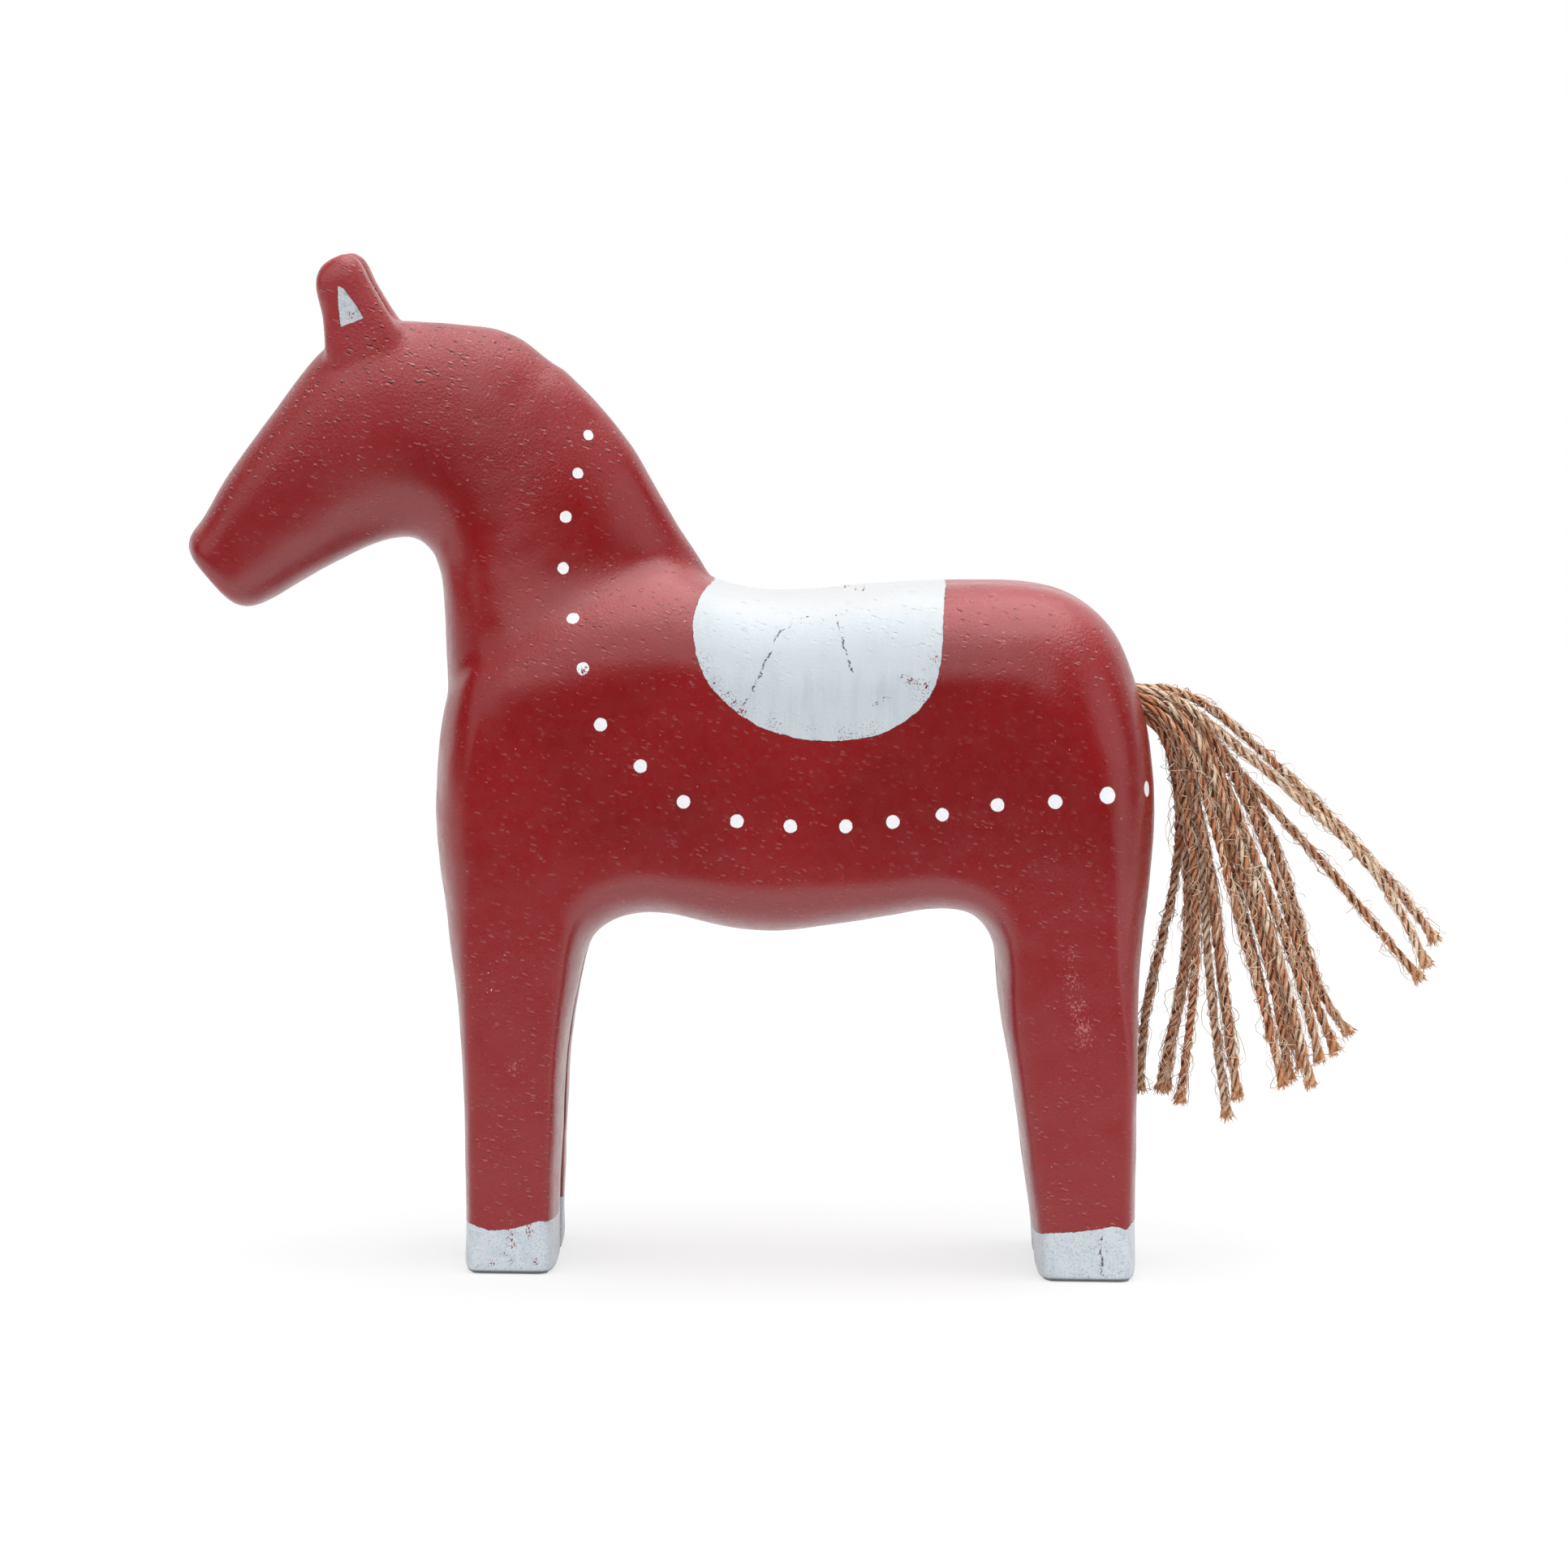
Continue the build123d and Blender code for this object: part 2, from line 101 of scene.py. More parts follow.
# Routes of the twine, millimetres, as in the CAD source
strand_routes = [
    [(90.5, 0, 115.54), (97, 0, 115.9), (103.6, 0.1, 114.2), (110.6, 0.2, 109.8), (119.4, 0.3, 101.8),
     (129.6, 0.3, 92.6), (139.2, 0.3, 82.6), (147.4, 0.4, 73.9), (153.3, 0.4, 65.8)],
    [(90.5, -1.64, 115.54), (96.6, -1.8, 115.3), (102.4, -2.2, 112.6), (108.9, -2.5, 107.4), (117.6, -2.8, 100.4),
     (127.6, -3, 92.4), (137.2, -3.2, 83.9), (145.6, -3.4, 73.2), (151.3, -3.5, 61.1)],
    [(90.5, 1.64, 115.54), (96.4, 1.8, 115.3), (102, 2.1, 112.6), (107.5, 2.4, 106.7), (113.4, 2.8, 98.8),
     (121.8, 3.1, 90.2), (131.8, 3.4, 79.6), (141.6, 3.6, 68), (150.7, 3.8, 57.5)],
    [(90.5, 2.46, 114.12), (95.9, 2.75, 114), (101.2, 3.8, 111.2), (107, 4.4, 106), (113.4, 4.9, 98.6),
     (119.4, 5.2, 88.6), (124.4, 5.3, 75.8), (128.3, 5.2, 61.4), (131.9, 5, 51.8), (136.8, 4.9, 46.3)],
    [(90.5, 0.82, 114.12), (96, 0.8, 113.95), (101.6, 0.6, 111.5), (106.8, 0.5, 106.8), (111.8, 0.5, 99.6),
     (116.8, 0.6, 90), (121.4, 0.8, 77.8), (125.6, 1, 65.2), (129.6, 1.2, 52.8), (133.8, 1.3, 43)],
    [(90.5, -0.82, 114.12), (96, -0.85, 113.9), (101.3, -1, 111.1), (106, -1.2, 105.9), (110.2, -1.4, 98.2),
     (114.4, -1.7, 88.4), (118.6, -1.9, 77.8), (123, -2.1, 66.4), (127.6, -2.2, 54), (130.5, -2.2, 41.5)],
    [(90.5, -2.46, 114.12), (95.8, -2.6, 113.85), (100.9, -3.1, 111), (105.2, -3.4, 105.6), (108.8, -3.7, 97.7),
     (112.4, -3.9, 87.8), (116.6, -4.1, 77), (120.8, -4.3, 65.4), (125.2, -4.4, 51.2), (128.7, -4.4, 36.9)],
    [(90.5, -3.28, 112.7), (95.2, -3.6, 112.4), (99.4, -4.2, 109.3), (102.9, -4.7, 104.2), (105.8, -5.1, 97.2),
     (108.6, -5.4, 88), (111.4, -5.7, 78.4), (114.4, -5.9, 67.4), (117.2, -6, 58.4), (120.4, -6, 47.6),
     (123.1, -6, 37)],
    [(90.5, -1.64, 112.7), (95.4, -1.7, 112.5), (100, -1.8, 109.5), (103.8, -2.1, 104.4), (107.4, -2.5, 97),
     (110.8, -2.8, 88), (114.4, -3.1, 78.4), (117.9, -3.3, 68.2), (120.9, -3.4, 57), (122.9, -3.4, 46.8),
     (124.5, -3.4, 37.8)],
    [(90.5, 0, 112.7), (95.5, 0, 112.5), (100.3, 0, 109.8), (104.5, 0, 104.8), (108.3, 0.1, 97.2), (112, 0.2, 88),
     (115.6, 0.3, 78), (119.4, 0.3, 66.4), (122.4, 0.3, 55), (124.8, 0.3, 43.6)],
    [(90.5, 1.64, 112.7), (95.5, 1.7, 112.5), (100.3, 1.8, 109.8), (104.6, 1.9, 104.8), (108.8, 2.1, 97),
     (113, 2.3, 87.6), (117.2, 2.5, 76.8), (121, 2.7, 64.8), (124.4, 2.8, 52), (127.4, 2.8, 39.4)],
    [(90.5, 3.28, 112.7), (95.2, 3.55, 112.45), (99.8, 3.9, 109.5), (103.6, 4.4, 104.4), (106.8, 4.8, 97),
     (109.8, 5.2, 88), (112.8, 5.5, 78), (116, 5.7, 67), (119.2, 5.8, 55.6), (121.4, 5.8, 45)],
    [(90.5, -2.46, 111.28), (95, -2.5, 111.05), (98.9, -2.7, 108.3), (101.8, -3.1, 103.4), (104.2, -3.6, 96),
     (106.6, -4, 86.4), (108.6, -4.3, 76), (110.2, -4.5, 63.6), (112.2, -4.6, 48.4), (114.1, -4.6, 34.2)],
    [(90.5, -0.82, 111.28), (95, -0.85, 111.1), (99, -1, 108.2), (101.9, -1.2, 103.2), (103.9, -1.5, 95.8),
     (105.6, -1.8, 86), (106.8, -2, 75.4), (107.6, -2.1, 64.4), (108.8, -2.1, 52.2), (110.6, -2.1, 40.6),
     (112.2, -2.1, 30)],
    [(90.5, 0.82, 111.28), (95, 0.85, 111.1), (99, 1, 108.2), (102, 1.2, 103.2), (104.4, 1.5, 95.8), (106.6, 1.8, 86),
     (108.4, 2, 75), (110, 2.1, 63), (111.8, 2.1, 50.4), (113.4, 2.1, 40)],
    [(90.5, 2.46, 111.28), (94.9, 2.6, 111), (98.8, 3, 108.1), (101.4, 3.5, 103.2), (103.2, 4, 95.8), (104.4, 4.3, 86),
     (104.9, 4.5, 75), (104.3, 4.6, 62.4), (102.6, 4.6, 50), (100.8, 4.5, 42), (100.3, 4.4, 34.5)],
    [(90.5, -1.64, 109.86), (94.7, -1.65, 109.75), (98, -2, 106.8), (100.2, -2.4, 102.2), (102.2, -2.8, 95.2),
     (104, -3.2, 85.4), (105.2, -3.4, 74.4), (105.4, -3.5, 62), (104.6, -3.5, 49.6), (103.5, -3.4, 40.6),
     (102.6, -3.4, 33)],
    [(90.5, 0, 109.86), (94.7, 0, 109.75), (98, -0.1, 106.8), (100.1, -0.2, 102.2), (101.6, -0.4, 95),
     (102.9, -0.6, 85), (103.7, -0.7, 74), (103.6, -0.8, 62.6), (102, -0.8, 52), (100, -0.7, 43), (98.8, -0.7, 35)],
    [(90.5, 1.64, 109.86), (94.7, 1.65, 109.75), (97.9, 1.8, 106.8), (100, 2, 102.2), (101.4, 2.2, 95), (102, 2.4, 85),
     (100.8, 2.5, 74), (98.6, 2.6, 64), (96.4, 2.6, 54), (95, 2.5, 44), (94.8, 2.4, 34.6)],
]

# How much paler the photograph shows some twines than the rest, counted from 1
pale_strands = {2: 0.55, 7: 0.35, 14: 0.3, 1: 0.25}

TWINE_SEED, FIBRE_SEED = 100, 900
TWINE_STEP = 0.34 * MILLIMETRE
# The plies' radius and distance from the twine's middle, as shares of the twine's radius
PLY_SHARE, HELIX_SHARE = 0.62, 0.48
FIBRE_SIDES, TIP_FIBRES = 3, 70
# Shares of the loose fibres with a free end and with a bold pale tone, and where on the twine the first may start
FREE_SHARE, BOLD_SHARE = 0.35, 0.28
FIRST_FIBRE = 6 * MILLIMETRE

# Where the step at the neck's foot is sanded away, in millimetres along, across and up: from none to full, and back
neck_step = ((-38, -33, -4, 12), (4, 10, 99, 100), (96, 110, 142, 154))

# Heights in millimetres over which a finish fades: the painted light on the legs, the ridges on legs and head, and the
# painted highlight on the head; and the same forward of the middle for the painted light on the muzzle
LIT_LEGS, RIDGED_LEGS = (70, 92), (72, 92)
HIGHLIT_HEAD, RIDGED_HEAD = (150, 186), (140, 176)
LIT_MUZZLE = (50, 64)
# How high above a ridge its light side is measured, and how far from the middle plane the ears' insides are
RIDGE_STEP, EAR_INSIDE = 0.28, 9


class StageSettings(bpy.types.PropertyGroup):
    camera_distance: FloatProperty(
        name="Camera distance", description="From the camera to the horse's middle plane", default=1.35, unit="LENGTH"
    )
    camera_height: FloatProperty(
        name="Camera height", description="Height of the camera above the floor", default=0.212, unit="LENGTH"
    )
    camera_side: FloatProperty(
        name="Camera side", description="Distance of the camera towards the tail", default=0.038, unit="LENGTH"
    )
    camera_tilt: FloatProperty(
        name="Tilt", description="How far the camera looks down", default=math.radians(4.937), subtype="ANGLE"
    )
    camera_turn: FloatProperty(
        name="Turn", description="How far the camera turns to its left", default=math.radians(0.65), subtype="ANGLE"
    )
    camera_roll: FloatProperty(name="Roll", description="Roll of the camera", default=0.0122, subtype="ANGLE")
    lens: FloatProperty(name="Lens", description="Focal length in millimetres", default=155.7)
    room: FloatProperty(name="Room", description="Strength of the dim light from all sides", default=0.13)
    overhead: FloatProperty(name="Overhead", description="Strength of the broad light from above", default=2.75)
    fill: FloatProperty(name="Fill", description="Strength of the light from the camera's side", default=1.15)
    tail_side: FloatProperty(
        name="Tail side", description="Strength of the soft light from the tail's side", default=0.5
    )
    head_side: FloatProperty(
        name="Head side", description="Strength of the soft light from the head's side", default=0.45
    )
    floor_white: FloatProperty(name="Floor", description="How far the floor goes to plain white", default=0.7)


class BodySettings(bpy.types.PropertyGroup):
    skin_size: FloatProperty(
        name="Skin size", description="Size of the faces of the wood's skin", default=0.00098, unit="LENGTH"
    )
    smoothing: IntProperty(name="Smoothing", description="Rounds of sanding", default=4)
    neck_smoothing: IntProperty(name="Neck smoothing", description="Rounds of sanding at the neck's foot", default=160)
    carving_depth: FloatProperty(
        name="Carving depth", description="Depth of the shallow knife hollows", default=0.00016, unit="LENGTH"
    )
    carving_spread: FloatProperty(
        name="Carving spread", description="Distance between knife hollows", default=0.011, unit="LENGTH"
    )


class PaintSettings(bpy.types.PropertyGroup):
    red: FloatVectorProperty(
        name="Red", description="Colour of the red paint", default=srgb(143, 13, 18), subtype="COLOR", size=4
    )
    deep_red: FloatVectorProperty(
        name="Deep red", description="Red paint where it is thick", default=srgb(129, 9, 13), subtype="COLOR", size=4
    )
    # Painted light: the paler red that stands in for the light from the floor and side lamps on the legs and muzzle
    painted_light_red: FloatVectorProperty(
        name="Dusty red", description="Red paint rubbed pale on legs and muzzle",
        default=srgb(141, 29, 32), subtype="COLOR", size=4,
    )
    white: FloatVectorProperty(
        name="White", description="Colour of the saddle and hooves",
        default=srgb(207, 216, 222), subtype="COLOR", size=4,
    )
    old_white: FloatVectorProperty(
        name="Old white", description="White paint where it is thin",
        default=srgb(184, 196, 206), subtype="COLOR", size=4,
    )
    dot_white: FloatVectorProperty(
        name="Dot white", description="Colour of the garland's dots",
        default=srgb(248, 249, 251), subtype="COLOR", size=4,
    )
    rim: FloatVectorProperty(
        name="Rim", description="Dark edge of the white paint", default=srgb(70, 30, 32), subtype="COLOR", size=4
    )
    ridge_depth: FloatProperty(
        name="Ridge depth", description="Height of the brushed ridges", default=0.0002, unit="LENGTH"
    )
    white_depth: FloatProperty(
        name="White depth", description="Thickness of the white paint", default=0.0001, unit="LENGTH"
    )


class TailSettings(bpy.types.PropertyGroup):
    diameter: FloatProperty(
        name="Twine diameter", description="Diameter of the twine", default=0.0016, unit="LENGTH"
    )
    lay: FloatProperty(
        name="Lay", description="Length of twine for one turn of a ply", default=0.0072, unit="LENGTH"
    )
    plies: IntProperty(name="Plies", description="Plies twisted into one twine", default=3)
    ply_sides: IntProperty(name="Ply sides", description="Faces round each ply", default=9)
    fibres: IntProperty(name="Fibres", description="Loose fibres on each twine", default=96)
    fibre_diameter: FloatProperty(
        name="Fibre diameter", description="Diameter of a loose fibre", default=0.0002, unit="LENGTH"
    )
    fray: FloatProperty(
        name="Fray", description="Length of the opened cut end", default=0.0034, unit="LENGTH"
    )
    # Dark jute colours both the dark fibre streaks and the painted shade deep in the twist's grooves
    dark: FloatVectorProperty(
        name="Dark jute", description="Jute in the twist's grooves", default=srgb(72, 34, 20), subtype="COLOR", size=4
    )
    plain: FloatVectorProperty(
        name="Plain jute", description="Usual colour of the jute",
        default=srgb(208, 140, 102), subtype="COLOR", size=4,
    )
    pale: FloatVectorProperty(
        name="Pale jute", description="Bleached jute fibres", default=srgb(254, 234, 206), subtype="COLOR", size=4
    )


class HorseSettings(bpy.types.PropertyGroup):
    stage: PointerProperty(type=StageSettings)
    body: PointerProperty(type=BodySettings)
    paint: PointerProperty(type=PaintSettings)
    tail: PointerProperty(type=TailSettings)


class Net:
    """Adds shader nodes to one node tree and joins them. An input is a socket or a plain value."""

    def __init__(self, tree):
        self.tree = tree

    def node(self, kind, inputs=None, **settings):
        """A new node of a kind with its settings, and its inputs by name or number."""
        node = self.tree.nodes.new(kind)
        for name, value in settings.items():
            setattr(node, name, value)
        return self.fill(node, inputs or {})

    def fill(self, node, inputs):
        for name, value in inputs.items():
            self.feed(node.inputs[name], value)
        return node

    def feed(self, socket, value):
        if isinstance(value, bpy.types.NodeSocket):
            self.tree.links.new(value, socket)
        else:
            socket.default_value = value

    def math(self, operation, *values, clamp=False):
        return self.node("ShaderNodeMath", dict(enumerate(values)), operation=operation, use_clamp=clamp).outputs[0]

    plus = partialmethod(math, "ADD")
    minus = partialmethod(math, "SUBTRACT")
    times = partialmethod(math, "MULTIPLY")
    larger = partialmethod(math, "MAXIMUM")
    smaller = partialmethod(math, "MINIMUM")

    def vector(self, operation, *values):
        node = self.node("ShaderNodeVectorMath", dict(enumerate(values)), operation=operation)
        return node.outputs["Value"] if operation in {"DISTANCE", "DOT_PRODUCT"} else node.outputs["Vector"]

    def scaled(self, vector, scale):
        inputs = {"Vector": vector, "Scale": scale}
        return self.node("ShaderNodeVectorMath", inputs, operation="SCALE").outputs["Vector"]

    def noise(self, vector, scale, detail=2, roughness=0.5, distortion=0, output="Fac"):
        inputs = {"Vector": vector, "Scale": scale, "Detail": detail, "Roughness": roughness, "Distortion": distortion}
        return self.node("ShaderNodeTexNoise", inputs).outputs[output]

    def ramp(self, value, low, high, from_value=0, to_value=1, smooth=True):
        inputs = {"Value": value, "From Min": low, "From Max": high, "To Min": from_value, "To Max": to_value}
        kind = "SMOOTHSTEP" if smooth else "LINEAR"
        return self.node("ShaderNodeMapRange", inputs, interpolation_type=kind).outputs["Result"]

    def mix(self, factor, first, second):
        return self.node("ShaderNodeMix", {"Factor": factor, 6: first, 7: second}, data_type="RGBA").outputs[2]

    def coats(self, colour, *coats):
        """A colour with other colours over it, each through its mask."""
        for mask, coat in coats:
            colour = self.mix(mask, colour, coat)
        return colour

    def apart(self, vector):
        return self.node("ShaderNodeSeparateXYZ", {0: vector}).outputs

    def group(self, tree, **values):
        inputs = {name.replace("_", " "): value for name, value in values.items()}
        return self.node("ShaderNodeGroup", inputs, node_tree=tree)


def new_group(name, vectors, floats, outputs):
    """An empty shader node group with named sockets, its net, and what it is given and has to give."""
    tree = bpy.data.node_groups.new(name, "ShaderNodeTree")
    for label in vectors + floats:
        kind = "NodeSocketVector" if label in vectors else "NodeSocketFloat"
        tree.interface.new_socket(label, in_out="INPUT", socket_type=kind)
    for label in outputs:
        tree.interface.new_socket(label, in_out="OUTPUT", socket_type="NodeSocketFloat")
    given = tree.nodes.new("NodeGroupInput").outputs
    result = tree.nodes.new("NodeGroupOutput").inputs
    return tree, Net(tree), given, result


def brushed_ridges_group():
    """Short slanting ridges left by a stiff brush in drying paint."""
    tree, net, given, result = new_group("brushed ridges", ["Position"], ["Size", "Slant"], ["Height"])
    position = given["Position"]
    turn = {"Vector": position, "Angle": given["Slant"]}
    turned = net.node("ShaderNodeVectorRotate", turn, rotation_type="Y_AXIS")
    stretched = net.vector("MULTIPLY", turned.outputs["Vector"], (0.55, 0.75, 1.8))
    size = given["Size"]
    bend = net.noise(position, net.math("DIVIDE", 0.6, size), output="Color")
    bent = net.vector("ADD", stretched, net.scaled(bend, net.times(size, 1.8)))
    dents = net.node("ShaderNodeTexVoronoi", {"Vector": bent, "Scale": net.math("DIVIDE", 0.55, size)})
    drawn = net.ramp(dents.outputs["Distance"], 0.16, 0.34, 1, 0)
    lot = net.noise(dents.outputs["Position"], 3.3)
    raised = net.minus(net.ramp(lot, 0.54, 0.6), net.ramp(lot, 0.38, 0.44, 1, 0))
    grain = net.noise(position, net.math("DIVIDE", 1.1, size), detail=3, roughness=0.6)
    height = net.times(net.times(drawn, raised), 0.7)
    net.feed(result["Height"], net.plus(height, net.times(grain, 0.75)))
    return tree


def paint_edge_group():
    """A hand-painted patch from its distance, which is negative inside, with a dark rim along its edge."""
    tree, net, given, result = new_group(
        "painted edge", ["Position"], ["Distance", "Wobble", "Rim width"], ["Mask", "Rim"]
    )
    position = given["Position"]
    broad = net.minus(net.noise(position, 0.55, detail=1), 0.5)
    fine = net.minus(net.noise(position, 2.6), 0.5)
    wobble = net.plus(broad, net.times(fine, 0.35))
    distance = net.plus(given["Distance"], net.times(wobble, given["Wobble"]))
    mask = net.ramp(distance, -0.035, 0.035, 1, 0)
    rim = net.ramp(net.math("ABSOLUTE", distance), 0, given["Rim width"], 1, 0)
    broken = net.ramp(net.noise(position, 1.3), 0.4, 0.62)
    net.feed(result["Mask"], mask)
    net.feed(result["Rim"], net.times(rim, broken))
    return tree


def crack_group():
    """A fine crack along a straight stretch, thinner towards its ends."""
    tree, net, given, result = new_group("fine crack", ["Position", "From", "To"], ["Width"], ["Mask"])
    position = given["Position"]
    drift = net.noise(position, 0.35, detail=3, output="Color")
    drift = net.scaled(net.vector("SUBTRACT", drift, (0.5, 0.5, 0.5)), 2.2)
    here = net.vector("SUBTRACT", net.vector("ADD", position, drift), given["From"])
    along = net.vector("SUBTRACT", given["To"], given["From"])
    reach, whole = net.vector("DOT_PRODUCT", here, along), net.vector("DOT_PRODUCT", along, along)
    share = net.math("DIVIDE", reach, whole, clamp=True)
    distance = net.vector("DISTANCE", here, net.scaled(along, share))
    ragged = net.ramp(net.noise(position, 2.4), 0.3, 0.7, 0.15, 1.25)
    limit = net.times(given["Width"], ragged)
    line = net.ramp(distance, net.times(limit, 0.6), net.times(limit, 1.3), 1, 0)
    broken = net.ramp(net.noise(position, 0.9, detail=3, roughness=0.7), 0.36, 0.5)
    net.feed(result["Mask"], net.times(line, broken))
    return tree


def jute_fibre_group():
    """Streaks of pale and dark fibre that run along a ply."""
    tree, net, given, result = new_group("jute fibre", ["Along"], ["Tone"], ["Pale", "Dark", "Height"])
    streak_place = net.vector("MULTIPLY", given["Along"], (9, 0.55, 1))
    streaks = net.noise(streak_place, 1, detail=4, roughness=0.65, distortion=0.3)
    patches = net.noise(net.vector("MULTIPLY", given["Along"], (0.8, 0.16, 1)), 1)
    tone = given["Tone"]
    pale_level = net.plus(streaks, net.times(net.plus(patches, tone), 0.32))
    net.feed(result["Pale"], net.ramp(pale_level, 0.66, 0.98))
    net.feed(result["Dark"], net.ramp(streaks, 0.48, 0.3))
    net.feed(result["Height"], streaks)
    return tree


def new_material(name):
    material = bpy.data.materials.new(name)
    material.use_nodes = True
    net = Net(material.node_tree)
    return material, net, material.node_tree.nodes["Principled BSDF"]


def bump(net, height, strength, distance):
    return net.node("ShaderNodeBump", {"Strength": strength, "Distance": distance, "Height": height}).outputs["Normal"]


def attribute(net, name):
    return net.node("ShaderNodeAttribute", attribute_name=name).outputs["Fac"]


def object_position(net):
    return net.node("ShaderNodeTexCoord").outputs["Object"]


def position_in_millimetres(net):
    """The Object position in millimetres, and the same with both sides of the horse folded onto one."""
    place = net.scaled(object_position(net), 1 / MILLIMETRE)
    x, y, z = net.apart(place)
    return place, net.node("ShaderNodeCombineXYZ", {0: x, 1: net.math("ABSOLUTE", y), 2: z}).outputs[0]


def folded(point):
    """A point of the horse in millimetres, moved to the side that both sides are folded onto."""
    return Vector((point.x, abs(point.y), point.z)) / MILLIMETRE


class Photograph:
    """Finds the place on the wood that the camera sees at a pixel of the photograph."""

    def __init__(self, camera, wood):
        self.camera = camera
        self.pixels = camera.data.lens / camera.data.sensor_width * PHOTO_WIDTH
        self.tree = BVHTree.FromObject(wood, bpy.context.evaluated_depsgraph_get())

    def place(self, across, down):
        """The place on the wood, or where the sight line comes nearest to it."""
        half = PHOTO_WIDTH / 2
        view = self.camera.matrix_world
        sight = Vector(((across - half) / self.pixels, (half - down) / self.pixels, -1))
        start, direction = view.translation, (view.to_3x3() @ sight).normalized()
        hit = self.tree.ray_cast(start, direction)[0]
        if hit is None:
            middle = start - direction * (start.y / direction.y)
            hit = self.tree.find_nearest(middle)[0]
        return hit

    def places(self, pixels):
        return [self.place(*pixel) for pixel in pixels]

    def size(self, pixels, place):
        """The real size of a number of pixels at a place."""
        depth = (self.camera.matrix_world.inverted() @ place).z
        return pixels * -depth / self.pixels


def select_only(thing):
    bpy.ops.object.select_all(action="DESELECT")
    thing.select_set(True)
    bpy.context.view_layer.objects.active = thing


def apply_modifier(thing, name, kind, **settings):
    modifier = thing.modifiers.new(name, kind)
    for key, value in settings.items():
        setattr(modifier, key, value)
    select_only(thing)
    bpy.ops.object.modifier_apply(modifier=name)


def mesh_piece(name, vertices, faces):
    mesh = bpy.data.meshes.new(name)
    mesh.from_pydata(vertices, [], faces)
    piece = bpy.data.objects.new(name, mesh)
    bpy.context.scene.collection.objects.link(piece)
    mesh.shade_smooth()
    return piece


def lengths(points):
    return [(after - here).length for here, after in zip(points, points[1:])]


def spoke(sides, angle):
    """The direction at an angle from the first of two directions to the second."""
    return sides[0] * math.cos(angle) + sides[1] * math.sin(angle)


def ring(middle, radius, sides, count):
    """Evenly spaced places on a circle."""
    return [middle + radius * spoke(sides, FULL_TURN * step / count) for step in range(count)]


def tube_faces(base, rings, count):
    """Faces of a tube whose rings of vertices start at a base number."""
    faces = []
    for first in range(base, base + (rings - 1) * count, count):
        for side in range(count):
            here, after = first + side, first + (side + 1) % count
            faces.append((here, after, after + count, here + count))
    return faces


def set_attribute(mesh, name, values):
    layer = mesh.attributes.new(name, "FLOAT", "POINT")
    layer.data.foreach_set("value", np.asarray(values, np.float32))


def rounded_outline(points, steps=6):
    """A smooth row of points through an open row of points."""
    row = [points[0], *points, points[-1]]
    smooth = []
    for before, here, after, beyond in zip(row, row[1:], row[2:], row[3:]):
        second = 2 * before - 5 * here + 4 * after - beyond
        third = 3 * here - before - 3 * after + beyond
        for t in [step / steps for step in range(steps)]:
            smooth.append(here + 0.5 * t * (after - before + t * (second + t * third)))
    return [*smooth, points[-1]]


def signed_distance(places, outline):
    """Distance in the side view from each place to a closed outline, negative inside it."""
    corners = np.array(outline, float)
    after = np.roll(corners, -1, axis=0)
    nearest = np.full(len(places), np.inf)
    inside = np.zeros(len(places), bool)
    for (ax, az), (bx, bz) in zip(corners, after):
        edge = np.array((bx - ax, bz - az))
        away = places - (ax, az)
        share = np.clip(away @ edge / max(edge @ edge, 1e-12), 0, 1)
        gap = away - share[:, None] * edge
        nearest = np.minimum(nearest, np.hypot(gap[:, 0], gap[:, 1]))
        crosses = (az > places[:, 1]) != (bz > places[:, 1])
        if bz != az:
            inside ^= crosses & (places[:, 0] < (bx - ax) * (places[:, 1] - az) / (bz - az) + ax)
    return np.where(inside, -nearest, nearest)


def make_camera(context, settings):
    bpy.ops.object.camera_add()
    camera = context.active_object
    camera.name = "photo_camera"
    camera.data.lens = settings.lens
    camera.data.sensor_width = SENSOR_WIDTH
    camera.data.clip_end = 50
    turn = Matrix.Rotation(settings.camera_turn, 4, "Z")
    tilt = Matrix.Rotation(math.pi / 2 - settings.camera_tilt, 4, "X")
    roll = Matrix.Rotation(settings.camera_roll, 4, "Z")
    place = Vector((settings.camera_side, -settings.camera_distance, settings.camera_height))
    camera.matrix_world = Matrix.Translation(place) @ turn @ tilt @ roll
    context.scene.camera = camera
    context.view_layer.update()


def make_floor(context, settings):
    """A white paper floor that ends before the camera, and a white wall behind it."""
    for name, whiteness, place, tilt, size in (
        ("paper_floor", settings.floor_white, (0, 2.52, 0), 0, (6, 5.76, 1)),
        ("paper_wall", 1, (0, 1.9, 1.2), math.pi / 2, (6, 2.8, 1)),
    ):
        bpy.ops.object.select_all(action="DESELECT")
        bpy.ops.mesh.primitive_plane_add(size=1, location=place, rotation=(tilt, 0, 0))
        sheet = context.active_object
        sheet.name = name
        sheet.scale = size
        sheet.data.materials.append(paper_material(name, whiteness))
    sheet.visible_shadow = False
    sheet.visible_diffuse = False


def paper_material(name, whiteness):
    """White paper that cameras, mirrors and glass see as plain white, as far as its whiteness."""
    material, net, shader = new_material(name)
    paper = net.mix(net.noise(object_position(net), 60, detail=3), srgb(243, 243, 243), srgb(247, 247, 247))
    net.fill(shader, {"Base Color": paper, "Roughness": 0.9, "Specular IOR Level": 0.1})
    glow = net.node("ShaderNodeEmission")
    rays = net.node("ShaderNodeLightPath")
    seen = net.larger(rays.outputs["Is Camera Ray"], rays.outputs["Is Transmission Ray"])
    seen = net.larger(seen, rays.outputs["Is Glossy Ray"])
    shaders = {"Fac": net.times(seen, whiteness), 1: shader.outputs[0], 2: glow.outputs[0]}
    join = net.node("ShaderNodeMixShader", shaders)
    net.feed(material.node_tree.nodes["Material Output"].inputs["Surface"], join.outputs[0])
    return material


